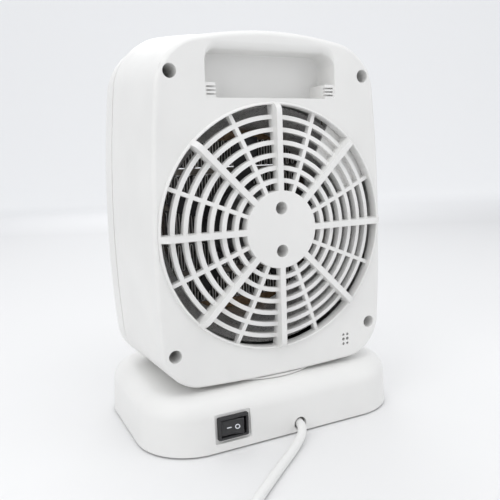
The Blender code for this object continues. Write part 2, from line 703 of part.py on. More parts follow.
def grille_lattice():
    """Six rings on a shallow dome, eight tall fins, eight thin spokes and a blanked sector."""
    radii = [HUB_RADIUS - 0.0030]
    for ring in range(RING_COUNT):
        middle = RING_FIRST + RING_PITCH * ring
        radii += [middle - RING_WIDTH / 2, middle + RING_WIDTH / 2]
    radii += [LIP_RADIUS - 0.0012, LIP_RADIUS + 0.0011]
    lines, kinds = [], []
    for spoke in range(16):
        width = SPOKE_WIDTH if spoke % 2 else FIN_WIDTH
        lines += [(SECTOR * spoke, -width / 2), (SECTOR * spoke, width / 2),
                  (SECTOR * (spoke + 0.5), 0.0)]
        kinds += ["spoke" if spoke % 2 else "fin", "open", "open"]
    blank_first, blank_last = 3 * 5 + 2, 3 * 7    # from half way past spoke 5 to spoke 7

    def is_solid(i, j, k):
        blank = blank_first <= j <= blank_last and i >= 7
        if k == 0:
            return blank
        if k == 2:
            return kinds[j] == "fin"
        return i % 2 == 1 and i < 2 * RING_COUNT or kinds[j] != "open"

    def point(i, j, k):
        radius = radii[i]
        degrees, sideways = lines[j]
        angle = math.radians(degrees) + math.asin(sideways / radius)
        dome = REAR_Y + DOME_RISE - DOME_CURVE * radius ** 2
        depth = (dome - RING_DEPTH - 0.0018, dome - RING_DEPTH, dome,
                 REAR_Y + HUB_RISE - (0.0030 if i == len(radii) - 1 else 0.0))[k]
        return radius * math.cos(angle), depth, FAN_Z + radius * math.sin(angle)

    return add_lattice(bmesh.new(), (len(radii) - 1, len(lines), 3, True), is_solid, point)


def make_front_cover():
    centre_z = 0.142
    count = 56
    angles = [math.tau * k / count for k in range(count)]

    def outline(y, inset):
        return [reach(angle, centre_z, lambda x, z: head_distance(x, z, y), inset)
                for angle in angles]

    edge_y = FRONT_Y + FRONT_EDGE
    seam = SEAM_Y - 0.0006
    rings = [ring_of(outline(seam, 0.0), centre_z, [seam] * count),
             ring_of(outline(edge_y, 0.0), centre_z, [edge_y] * count)]
    for step in range(1, 6):
        turn = math.radians(90 * step / 5)
        y = edge_y - FRONT_EDGE * math.sin(turn)
        rings.append(ring_of(outline(edge_y, FRONT_EDGE * (1 - math.cos(turn))), centre_z,
                             [y] * count))
    opening = [reach(angle, centre_z, outlet_distance) for angle in angles]
    rings.append(ring_of(opening, centre_z, [FRONT_Y] * count))
    cover = shell("front_cover", rings, WHITE, HEAD_WALL)
    posts = bmesh.new()
    for x, z in CORNER_SCREWS:
        add_rod(posts, (x, FRONT_Y + 0.0014, z), (x, -GAP, z), 0.0050, 12)
    boolean(cover, posts, "UNION")
    cuts = bmesh.new()
    for x, z in CORNER_SCREWS:
        add_rod(cuts, (x, -0.0150, z), (x, 0.01, z), 0.0018, 8)
    for side in (-1, 1):
        add_rod(cuts, (side * BUTTON_X, -0.06, BUTTON_Z), (side * BUTTON_X, -0.04, BUTTON_Z),
                BUTTON_RADIUS + 0.0004, 24)
    add_rod(cuts, (0, -0.06, BUTTON_Z), (0, -0.04, BUTTON_Z), 0.0023, 12)
    boolean(cover, cuts, "DIFFERENCE")


def make_front_grille():
    """Horizontal bars in a flat frame, held behind the outlet by two uprights."""
    half_wide = OUTLET_HALF_WIDTH + 0.0030
    half_high = OUTLET_HALF_HEIGHT + 0.0030
    bars, bar_width = 15, 0.0028
    across = [-half_wide, -half_wide + 0.005, -0.0212, -0.0188, 0.0188, 0.0212,
              half_wide - 0.005, half_wide]
    pitch = (2 * half_high - 0.010) / (bars + 1)
    upward = [-half_high, -half_high + 0.005]
    for bar in range(1, bars + 1):
        middle = -half_high + 0.005 + pitch * bar
        upward += [middle - bar_width / 2, middle + bar_width / 2]
    upward += [half_high - 0.005, half_high]

    def is_solid(i, j, k):
        upright = i % 2 == 0
        return j % 2 == 0 or upright

    def point(i, j, k):
        return across[i], (-0.0416, -0.0452)[k], OUTLET_Z + upward[j]

    lattice = add_lattice(bmesh.new(), (len(across) - 1, len(upward) - 1, 1, False),
                          is_solid, point)
    as_part(lattice, "front_grille", WHITE)


# ---------------------------------------------------------------- controls in the head

def make_controls():
    for side, name in ((-1, "power_button"), (1, "swing_button")):
        x = side * BUTTON_X
        button = add_rod(bmesh.new(), (x, -0.0440, BUTTON_Z), (x, -0.0488, BUTTON_Z),
                         BUTTON_RADIUS, 24)
        as_part(button, name, WHITE)
        rim = add_rod(bmesh.new(), (x, -0.0484, BUTTON_Z), (x, -0.0494, BUTTON_Z),
                      BUTTON_RADIUS - 0.0002, 24, BUTTON_RADIUS - 0.0012)
        boolean(bpy.data.objects[name], rim, "UNION")
    lens = add_rod(bmesh.new(), (0, -0.0440, BUTTON_Z), (0, -0.0484, BUTTON_Z), 0.0020, 12)
    as_part(lens, "led_lens", LENS)
    board = add_box(bmesh.new(), (-0.0360, -0.0402, 0.0500), (0.0360, -0.0386, 0.0700))
    as_part(board, "control_board", BOARD)
    buzzer = add_rod(bmesh.new(), (-0.0530, 0.0380, 0.0525), (-0.0530, 0.0470, 0.0525), 0.0045, 16)
    as_part(buzzer, "buzzer", BLACK)
    tip = add_box(bmesh.new(), (-0.0480, 0.0000, 0.0412), (-0.0320, 0.0120, 0.0560))
    as_part(tip, "tip_over_switch", BLACK)


# ---------------------------------------------------------------- air path

def make_air_duct():
    """A thin sheet: square round the heater, round past the fan, flared to the rear grille."""
    corner_steps = 7
    count = 4 * (corner_steps + 1)
    square = rounded_rectangle(0.0604, 0.0654, 0.0030, corner_steps)
    angles = [math.tau * (k + 0.5) / count for k in range(count)]
    rings = [[(x, y, FAN_Z + z) for x, z in square] for y in (-0.0372, -0.0130)]
    for y, radius in ((-0.0080, DUCT_RADIUS), (0.0160, DUCT_RADIUS),
                      (0.0410, LIP_RADIUS - 0.0010)):
        rings.append([(radius * math.cos(angle), y, FAN_Z + radius * math.sin(angle))
                      for angle in angles])
    duct = shell("air_duct", rings, ALUMINIUM, 0.0008)
    duct.modifiers["wall"].offset = 1.0


def make_heater():
    frame = as_part(add_box(bmesh.new(), (-0.0595, HEATER_FRONT_Y - 0.001, FAN_Z - 0.0645),
                            (0.0595, HEATER_REAR_Y, FAN_Z + 0.0645)), "heater_frame", PHENOLIC)
    window = add_box(bmesh.new(), (-HEATER_HALF_WIDTH - GAP, -0.06, FAN_Z - 0.0602),
                     (HEATER_HALF_WIDTH + GAP, 0.01, FAN_Z + 0.0602))
    boolean(frame, window, "DIFFERENCE")
    row_pitch = 2 * HEATER_HALF_HEIGHT / FIN_ROWS + STRIP_HEIGHT / FIN_ROWS
    row_height = row_pitch - STRIP_HEIGHT
    folds = 28
    for row in range(FIN_ROWS):
        low = FAN_Z - HEATER_HALF_HEIGHT + row * row_pitch
        corrugated_row(f"heater_fins_{row + 1}", low + GAP / 2, low + row_height - GAP / 2, folds)
        if row:
            strip = add_box(bmesh.new(),
                            (-HEATER_HALF_WIDTH, HEATER_FRONT_Y, low - STRIP_HEIGHT + GAP / 2),
                            (HEATER_HALF_WIDTH, HEATER_REAR_Y - 0.0010, low - GAP / 2))
            as_part(strip, f"ceramic_strip_{row}", CERAMIC)
    for name, side in (("mica_top", 1), ("mica_bottom", -1)):
        middle = FAN_Z + side * 0.0615
        sheet = add_box(bmesh.new(), (-0.0550, HEATER_REAR_Y + GAP, middle - 0.0035),
                        (0.0550, HEATER_REAR_Y + 0.0010, middle + 0.0035))
        as_part(sheet, name, MICA)
    cutout = add_box(bmesh.new(), (-0.0180, HEATER_REAR_Y + 0.0013, FAN_Z + 0.0540),
                     (-0.0040, HEATER_REAR_Y + 0.0048, FAN_Z + 0.0600))
    as_part(cutout, "thermal_cutout", BLACK)


def corrugated_row(name, low, high, folds):
    """One folded aluminium strip: a zigzag along X, as wide as the row is deep."""
    half = (high - low) / 2 - 0.0006
    middle = (high + low) / 2
    pitch = 2 * HEATER_HALF_WIDTH / folds
    rows = []
    for y in (HEATER_FRONT_Y, HEATER_REAR_Y - 0.0010):
        line = []
        for fold in range(folds + 1):
            x = -HEATER_HALF_WIDTH + pitch * fold
            side = 1 if fold % 2 else -1
            line.append((x + (0.0009 if fold == 0 else -0.0009 if fold == folds else 0.0), y,
                         middle + side * half))
        rows.append(line)
    data = bmesh.new()
    made = [[data.verts.new(point) for point in line] for line in rows]
    for k in range(folds):
        data.faces.new((made[0][k], made[0][k + 1], made[1][k + 1], made[1][k]))
    piece = as_part(data, name, FIN_METAL)
    thicken = piece.modifiers.new("sheet", "SOLIDIFY")
    thicken.thickness = 0.0003
    thicken.offset = 0.0


def make_fan():
    motor = as_part(add_rod(bmesh.new(), (0, 0.0170, FAN_Z), (0, 0.0415, FAN_Z), 0.0240, 28),
                    "fan_motor", STEEL)
    holes = bmesh.new()
    for side in (-1, 1):
        z = FAN_Z + side * HUB_HOLE_OFFSET
        add_rod(holes, (0, 0.0345, z), (0, 0.05, z), 0.0018, 8)
    boolean(motor, holes, "DIFFERENCE")
    as_part(add_rod(bmesh.new(), (0, -0.0060, FAN_Z), (0, 0.0167, FAN_Z), 0.0016, 10),
            "fan_shaft", STEEL)

    impeller = as_part(add_rod(bmesh.new(), (0, -0.0075, FAN_Z), (0, 0.0125, FAN_Z),
                               FAN_HUB_RADIUS, 36), "impeller", BLACK)
    room = add_rod(bmesh.new(), (0, -0.05, FAN_Z), (0, 0.0100, FAN_Z), FAN_HUB_RADIUS - 0.0024, 36)
    boolean(impeller, room, "DIFFERENCE")
    boss = add_rod(bmesh.new(), (0, -0.0070, FAN_Z), (0, 0.0110, FAN_Z), 0.0050, 20)
    boolean(impeller, boss, "UNION")
    blades = bmesh.new()
    for blade in range(5):
        add_blade(blades, math.tau * blade / 5 + math.radians(20))
    boolean(impeller, blades, "UNION")
    bore = add_rod(bmesh.new(), (0, -0.0062, FAN_Z), (0, 0.05, FAN_Z), 0.0019, 10)
    boolean(impeller, bore, "DIFFERENCE")


def add_blade(mesh_data, turn):
    """A twisted fan blade: sections from root to tip, each a thin slanted rectangle."""
    rings = []
    for share in (0.0, 0.33, 0.67, 1.0):
        radius = blend(FAN_HUB_RADIUS - 0.0012, FAN_RADIUS, share)
        pitch = math.radians(blend(46, 24, share))
        half_chord = blend(0.0065, 0.0100, share)
        ring = []
        for along, thick in ((-1, -1), (1, -1), (1, 1), (-1, 1)):
            sideways = along * half_chord * math.cos(pitch) - thick * 0.0007 * math.sin(pitch)
            depth = along * half_chord * math.sin(pitch) + thick * 0.0007 * math.cos(pitch)
            angle = turn + sideways / max(radius, 0.02)
            ring.append((radius * math.cos(angle), 0.0025 + depth,
                         FAN_Z + radius * math.sin(angle)))
        rings.append(ring)
    add_loft(mesh_data, rings)


def make_head_screws():
    for number, (x, z) in enumerate(CORNER_SCREWS, 1):
        as_part(screw_body((x, 0.0023, z), (0, -1, 0), 0.0034, 0.0022, 0.0150),
                f"cover_screw_{number}", STEEL)
    for number, side in enumerate((-1, 1), 1):
        z = FAN_Z + side * HUB_HOLE_OFFSET
        as_part(screw_body((0, 0.0443, z), (0, -1, 0), 0.0033, 0.0022, 0.0090),
                f"hub_screw_{number}", STEEL)


# ---------------------------------------------------------------- mains lead

def cord_tube(name, route):
    curve = bpy.data.curves.new(name, "CURVE")
    curve.dimensions = "3D"
    curve.bevel_depth = CORD_RADIUS
    curve.bevel_resolution = 2
    curve.use_fill_caps = True
    curve.resolution_u = 1
    spline = curve.splines.new("POLY")
    points = catmull_rom(route, 2.5 * 2 * CORD_RADIUS)
    spline.points.add(len(points) - 1)
    for target, point in zip(spline.points, points):
        target.co = (*point, 1.0)
    curve.materials.append(CORD_WHITE)
    PARTS.objects.link(bpy.data.objects.new(name, curve))


def make_cord():
    cord_tube("power_cord", CORD_ROUTE)
    cord_tube("cord_tail", TAIL_ROUTE)
    inner = COIL_MEAN_RADIUS - COIL_HALF_WIDTH
    outer = COIL_MEAN_RADIUS + COIL_HALF_WIDTH
    turned("cord_coil", [(outer - 0.0020, COIL_HEIGHT), (outer, COIL_HEIGHT - 0.0025),
                         (outer, 0.0025), (outer - 0.0020, 0.0002), (inner + 0.0020, 0.0002),
                         (inner, 0.0025), (inner, COIL_HEIGHT - 0.0025),
                         (inner + 0.0020, COIL_HEIGHT)], (*COIL_CENTRE, 0.0), CORD_WHITE, 36)
    make_plug()


def make_plug():
    """A two-blade plug lying on its flat side at the end of the lead."""
    forward = Vector((*PLUG_DIRECTION, 0.0)).normalized()
    side = Vector((-forward.y, forward.x, 0.0))
    start = Vector(TAIL_ROUTE[-1]) + forward * GAP

    def section(along, half_wide, half_high, radius):
        centre = start + forward * along
        return [centre + side * a + Vector((0, 0, b)) for a, b in
                rounded_rectangle(half_wide, half_high, radius, 3)]

    rings = [section(0.0, 0.0042, 0.0042, 0.0040), section(0.0080, 0.0050, 0.0048, 0.0044),
             section(0.0140, 0.0085, 0.0068, 0.0045), section(0.0230, 0.0122, 0.0086, 0.0050),
             section(0.0330, 0.0130, 0.0098, 0.0040)]
    as_part(add_loft(bmesh.new(), rings), "plug", CORD_WHITE)
    face = start + forward * (0.0330 + GAP)
    for number, offset in enumerate((-0.0064, 0.0064), 1):
        blade = bmesh.new()
        ends = []
        for along in (0.0, 0.0150, 0.0175):
            half_high = 0.0032 if along < 0.0170 else 0.0018
            centre = face + forward * along + side * offset
            ends.append([centre + side * a + Vector((0, 0, b)) for a, b in
                         ((0.00075, half_high), (-0.00075, half_high),
                          (-0.00075, -half_high), (0.00075, -half_high))])
        as_part(add_loft(blade, ends), f"plug_blade_{number}", BRASS)


make_base_shell()
make_base_plate()
make_feet_and_base_screws()
make_switch()
make_cord_clamp()
make_swing_drive()
make_rear_cover()
make_front_cover()
make_front_grille()
make_controls()
make_air_duct()
make_heater()
make_fan()
make_head_screws()
make_cord()
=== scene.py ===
"""The looks of an oscillating ceramic space heater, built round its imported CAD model."""
import json
import math

import bmesh
import bpy
from mathutils import Matrix, Vector


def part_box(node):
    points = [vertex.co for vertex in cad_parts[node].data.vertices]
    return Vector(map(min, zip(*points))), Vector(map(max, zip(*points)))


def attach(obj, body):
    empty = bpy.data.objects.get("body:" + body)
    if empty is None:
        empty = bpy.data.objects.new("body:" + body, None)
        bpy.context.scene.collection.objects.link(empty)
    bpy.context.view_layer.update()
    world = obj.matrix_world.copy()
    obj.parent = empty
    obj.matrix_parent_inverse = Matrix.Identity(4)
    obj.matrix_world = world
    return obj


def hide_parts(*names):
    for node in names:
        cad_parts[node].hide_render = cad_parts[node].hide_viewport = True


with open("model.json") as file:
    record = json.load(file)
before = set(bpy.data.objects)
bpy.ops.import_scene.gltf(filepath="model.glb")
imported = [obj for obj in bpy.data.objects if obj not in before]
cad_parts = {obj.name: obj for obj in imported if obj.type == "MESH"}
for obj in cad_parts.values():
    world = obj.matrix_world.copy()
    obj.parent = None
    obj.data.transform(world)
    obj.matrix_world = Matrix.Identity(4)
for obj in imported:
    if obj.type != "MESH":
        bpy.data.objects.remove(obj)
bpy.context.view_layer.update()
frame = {"nodes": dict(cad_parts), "record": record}

# ---------------------------------------------------------------- driving dimensions (metres)

# Base
BASE_LOW, BASE_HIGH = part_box("base_shell")
BASE_HALF_WIDTH = BASE_HIGH.x
BASE_HALF_DEPTH = BASE_HIGH.y
BASE_TOP = BASE_HIGH.z
BASE_CORNER = 0.0375
BASE_EDGE = 0.0130
BASE_DRAFT = 0.0012
BASE_WALL = 0.0024
BASE_SCREWS = [(0.070, 0.040), (-0.070, 0.040), (-0.070, -0.040), (0.070, -0.040)]
SWITCH_X = 0.0425
SWITCH_Z = 0.0160
ROCKER_PIVOT_Y = 0.0600
ROCKER_TILT = math.radians(-8)
RECESS_DEPTH = 0.0022

# Head
HEAD_BOTTOM = 0.0374
HEAD_TOP = 0.2682
HEAD_MIDDLE = 0.1500
SEAM_Y = -0.0220
SEAM_GAP = 0.0012
REAR_Y = 0.0506
FRONT_Y = -0.0480
HEAD_WALL = 0.0022
REAR_EDGE = 0.0030
TOP_EDGE_EXTRA = 0.0010
LOW_EDGE_EXTRA = -0.0014
FRONT_EDGE = 0.0140
TOP_CORNER = 0.0267
BOTTOM_CORNER = 0.0251

# Rear grille
FAN_Z = 0.1355
HUB_RADIUS = 0.0249
HUB_RISE = 0.0070
LIP_RADIUS = 0.0781
LIP_RISE = 0.0016
LIP_WALL = 0.0012
LIP_DEEP_Y = 0.0450
RING_COUNT = 6
RING_FIRST = 0.0312
RING_PITCH = 0.0079
RING_WIDTH = 0.0028
RING_DEPTH = 0.0045
DOME_RISE = 0.00646
DOME_CURVE = 1.344
FIN_WIDTH = 0.0038
SPOKE_WIDTH = 0.0025
SECTOR = 22.5
HUB_HOLE_OFFSET = 0.01374
CORNER_SCREWS = [(0.0673, 0.2323), (-0.0673, 0.2323), (0.0728, 0.0622), (-0.0728, 0.0622)]

# Handle pocket
POCKET_HALF_WIDTH = 0.0455
POCKET_LOW = 0.2175
POCKET_HIGH = 0.2460
POCKET_DEPTH = 0.0200
POCKET_TOP_CORNER = 0.0085
POCKET_LOW_CORNER = 0.0014
BLOCK_WIDTH = 0.0070
BLOCK_HEIGHT = 0.0090
BLOCK_SETBACK = 0.0010
SLOT_PITCH = 0.0022

# Air path and front
DUCT_RADIUS = 0.0660
FAN_RADIUS = 0.0600
FAN_HUB_RADIUS = 0.0280
BLADE_COUNT = 5
FIN_FOLDS = 46
HEATER_FRONT_Y = -0.0340
HEATER_REAR_Y = -0.0150
OUTLET_Z = 0.1450
OUTLET_HALF_WIDTH = 0.0630
OUTLET_HALF_HEIGHT = 0.0690
BUTTON_X = 0.0220
BUTTON_Z = 0.0620
BUTTON_RADIUS = 0.0070

# Mains lead: the route of the CAD model, and one more point that leads into the coil
CORD_RADIUS = 0.0029
CORD_ROUTE = [
    (-0.0060, 0.0540, 0.0065), (-0.0060, 0.0612, 0.0065), (-0.0053, 0.0669, 0.0065),
    (-0.0034, 0.0716, 0.0062), (-0.0005, 0.0762, 0.0055), (0.0031, 0.0800, 0.0047),
    (0.0081, 0.0843, 0.0039), (0.0135, 0.0889, 0.0034), (0.0198, 0.0941, 0.0032),
    (0.0262, 0.0993, 0.0031), (0.0416, 0.1122, 0.0031), (0.0568, 0.1255, 0.0031),
    (0.0690, 0.1387, 0.0031), (0.0760, 0.1463, 0.0031), (0.0857, 0.1568, 0.0031),
]
TAIL_ROUTE = [
    (0.0359, 0.2344, 0.0088), (0.0280, 0.2337, 0.0090), (0.0190, 0.2328, 0.0096),
    (0.0110, 0.2319, 0.0100),
]
PLUG_DIRECTION = (-0.994, -0.111)
COIL_CENTRE = Vector((0.0626, 0.1943, 0.0))
COIL_OUTER = 0.0424              # centreline radius of the outermost turn
COIL_INNER = 0.0235
COIL_LOW_Z = 0.0031
COIL_HIGH_Z = 0.0089
COIL_FROM = -42.7                # degrees, where the lead joins the coil
COIL_TO = 95.0 + 360 * 6         # degrees, where it leaves

# Camera
CAMERA_YAW = math.radians(25.94)
CAMERA_PITCH = math.radians(9.40)
CAMERA_ROLL = math.radians(-1.85)
CAMERA_LENS = 43.04              # millimetres, on a 36 mm sensor
CAMERA_PLACE = (0.1835, 0.3869, 0.1855)


# ---------------------------------------------------------------- camera, light and stage

def add_camera():
    """The camera stands behind the heater, on the side that is its own left (+X)."""
    yaw, pitch, roll = CAMERA_YAW, CAMERA_PITCH, CAMERA_ROLL
    forward = Vector((-math.sin(yaw) * math.cos(pitch), -math.cos(yaw) * math.cos(pitch),
                      -math.sin(pitch)))
    level = Vector((-math.cos(yaw), math.sin(yaw), 0.0))
    above = level.cross(forward)
    right = level * math.cos(roll) + above * math.sin(roll)
    above = above * math.cos(roll) - level * math.sin(roll)
    data = bpy.data.cameras.new("camera")
    data.lens = CAMERA_LENS
    data.sensor_width = 36.0
    camera = bpy.data.objects.new("camera", data)
    turn = Matrix((right, above, -forward)).transposed().to_4x4()
    camera.matrix_world = Matrix.Translation(CAMERA_PLACE) @ turn
    bpy.context.scene.collection.objects.link(camera)
    bpy.context.scene.camera = camera


def add_light(name, place, target, size, power, colour):
    data = bpy.data.lights.new(name, "AREA")
    data.shape = "RECTANGLE"
    data.size, data.size_y = size
    data.energy = power
    data.color = colour
    light = bpy.data.objects.new(name, data)
    light.location = place
    aim = Vector(target) - Vector(place)
    light.rotation_euler = aim.to_track_quat("-Z", "Y").to_euler()
    bpy.context.scene.collection.objects.link(light)


def paper():
    """Matt white paper, a little greyer and then glowing where it is far behind the heater."""
    surface = Surface("paper", (0.78, 0.78, 0.783), 0.8)
    apart = surface.node("ShaderNodeSeparateXYZ")
    surface.link(surface.coordinates, apart.inputs["Vector"])
    away = surface.spread(apart.outputs["Y"], 0.0, 1.0, -0.1, -1.5)
    surface.vary_colour(away, (0.0, (0.785, 0.785, 0.787)), (1.0, (0.655, 0.657, 0.665)))
    glow = surface.spread(apart.outputs["Y"], 0.0, 0.30, -1.0, -1.75)
    surface.principled.inputs["Emission Color"].default_value = (0.97, 0.985, 1.0, 1.0)
    surface.link(glow, surface.principled.inputs["Emission Strength"])
    return surface.material


def add_stage():
    """A pale floor that curves up into a backdrop, with soft studio light."""
    cove, reach_back, height = 1.0, 1.6, 2.6
    profile = [(2.2, 0.0), (0.0, 0.0), (-reach_back, 0.0)]
    for step in range(1, 17):
        angle = math.radians(90 * step / 16)
        profile.append((-reach_back - cove * math.sin(angle), cove * (1 - math.cos(angle))))
    profile.append((-reach_back - cove, height))
    data = bmesh.new()
    rows = [[data.verts.new((x, y, z)) for y, z in profile] for x in (-3.5, 3.5)]
    for k in range(len(profile) - 1):
        data.faces.new((rows[0][k], rows[0][k + 1], rows[1][k + 1], rows[1][k]))
    mesh = bpy.data.meshes.new("floor")
    data.to_mesh(mesh)
    data.free()
    mesh.shade_smooth()
    floor = bpy.data.objects.new("floor", mesh)
    floor.rotation_euler.z = math.radians(-26)
    bpy.context.scene.collection.objects.link(floor)
    mesh.materials.append(paper())

    world = bpy.data.worlds.new("studio")
    bpy.context.scene.world = world
    world.use_nodes = True
    background = world.node_tree.nodes["Background"]
    background.inputs["Color"].default_value = (0.96, 0.975, 1.0, 1.0)
    background.inputs["Strength"].default_value = 0.735
    add_light("top_softbox", (0.1, 0.25, 1.5), (0, 0, 0.1), (1.4, 1.4), 9.8, (1.0, 1.0, 1.0))
    add_light("left_softbox", (1.3, 0.6, 0.7), (0, 0, 0.12), (1.0, 1.0), 4.1, (1.0, 0.99, 0.97))
    add_light("right_softbox", (-1.1, 1.0, 0.6), (0, 0, 0.12), (0.9, 0.9), 2.1, (1.0, 0.99, 0.98))
    add_light("front_softbox", (-0.4, -1.3, 0.8), (0, 0, 0.12), (1.0, 1.0), 4.0, (1.0, 1.0, 1.0))
    bpy.context.scene.view_settings.view_transform = "Standard"


# ---------------------------------------------------------------- materials

def plain_material(name, colour, roughness, metallic=0.0):
    shade = bpy.data.materials.new(name)
    shade.use_nodes = True
    principled = shade.node_tree.nodes["Principled BSDF"]
    principled.inputs["Base Color"].default_value = (*colour, 1.0)
    principled.inputs["Roughness"].default_value = roughness
    principled.inputs["Metallic"].default_value = metallic
    return shade


class Surface:
    """A Principled material whose colour, roughness and bump come from noise in object space."""

    def __init__(self, name, colour, roughness, metallic=0.0):
        self.material = plain_material(name, colour, roughness, metallic)
        self.tree = self.material.node_tree
        self.principled = self.tree.nodes["Principled BSDF"]
        self.coordinates = self.node("ShaderNodeTexCoord").outputs["Object"]
        self.normal = None

    def node(self, kind):
        return self.tree.nodes.new(kind)

    def link(self, start, end):
        self.tree.links.new(start, end)

    def noise(self, scale, detail=2.0, stretch=(1, 1, 1), rough=0.5):
        mapping = self.node("ShaderNodeMapping")
        mapping.inputs["Scale"].default_value = stretch
        self.link(self.coordinates, mapping.inputs["Vector"])
        noise = self.node("ShaderNodeTexNoise")
        noise.inputs["Scale"].default_value = scale
        noise.inputs["Detail"].default_value = detail
        noise.inputs["Roughness"].default_value = rough
        self.link(mapping.outputs["Vector"], noise.inputs["Vector"])
        return noise.outputs["Fac"]

    def spread(self, source, low, high, low_in=0.3, high_in=0.7):
        ranged = self.node("ShaderNodeMapRange")
        ranged.inputs["From Min"].default_value = low_in
        ranged.inputs["From Max"].default_value = high_in
        ranged.inputs["To Min"].default_value = low
        ranged.inputs["To Max"].default_value = high
        self.link(source, ranged.inputs["Value"])
        return ranged.outputs["Result"]

    def vary_roughness(self, source, low, high):
        self.link(self.spread(source, low, high), self.principled.inputs["Roughness"])
        return self

    def vary_colour(self, source, *stops):
        ramp = self.node("ShaderNodeValToRGB")
        elements = ramp.color_ramp.elements
        while len(elements) < len(stops):
            elements.new(0.5)
        for element, (position, colour) in zip(elements, stops):
            element.position = position
            element.color = (*colour, 1.0)
        self.link(source, ramp.inputs["Fac"])
        self.link(ramp.outputs["Color"], self.principled.inputs["Base Color"])
        return self

    def bump(self, source, height, strength=1.0):
        """Bumps of a real height in metres, laid over those already there."""
        bump = self.node("ShaderNodeBump")
        bump.inputs["Distance"].default_value = height
        bump.inputs["Strength"].default_value = strength
        self.link(source, bump.inputs["Height"])
        if self.normal is not None:
            self.link(self.normal, bump.inputs["Normal"])
        self.normal = bump.outputs["Normal"]
        self.link(self.normal, self.principled.inputs["Normal"])
        return self


def moulded_plastic(name, colour, roughness, grain=0.00002):
    """Moulded plastic: a fine spark-eroded grain, slow waves and a hint of uneven gloss."""
    surface = Surface(name, colour, roughness)
    darker = tuple(0.975 * c for c in colour)
    lighter = tuple(min(1.0, 1.012 * c) for c in colour)
    surface.vary_colour(surface.noise(22, 3), (0.35, darker), (0.65, lighter))
    surface.vary_roughness(surface.noise(60, 4), roughness - 0.05, roughness + 0.06)
    surface.bump(surface.noise(2600, 2), grain)
    surface.bump(surface.noise(35, 1), 0.00012, 0.35)
    return surface.material


def textured(name, colour, roughness, metallic, tones, gloss, relief):
    """A material from three noises, each followed by the range that it spreads over."""
    surface = Surface(name, colour, roughness, metallic)
    surface.vary_colour(surface.noise(*tones[0]), *tones[1:])
    surface.vary_roughness(surface.noise(*gloss[0]), *gloss[1:])
    surface.bump(surface.noise(*relief[0]), *relief[1:])
    return surface.material


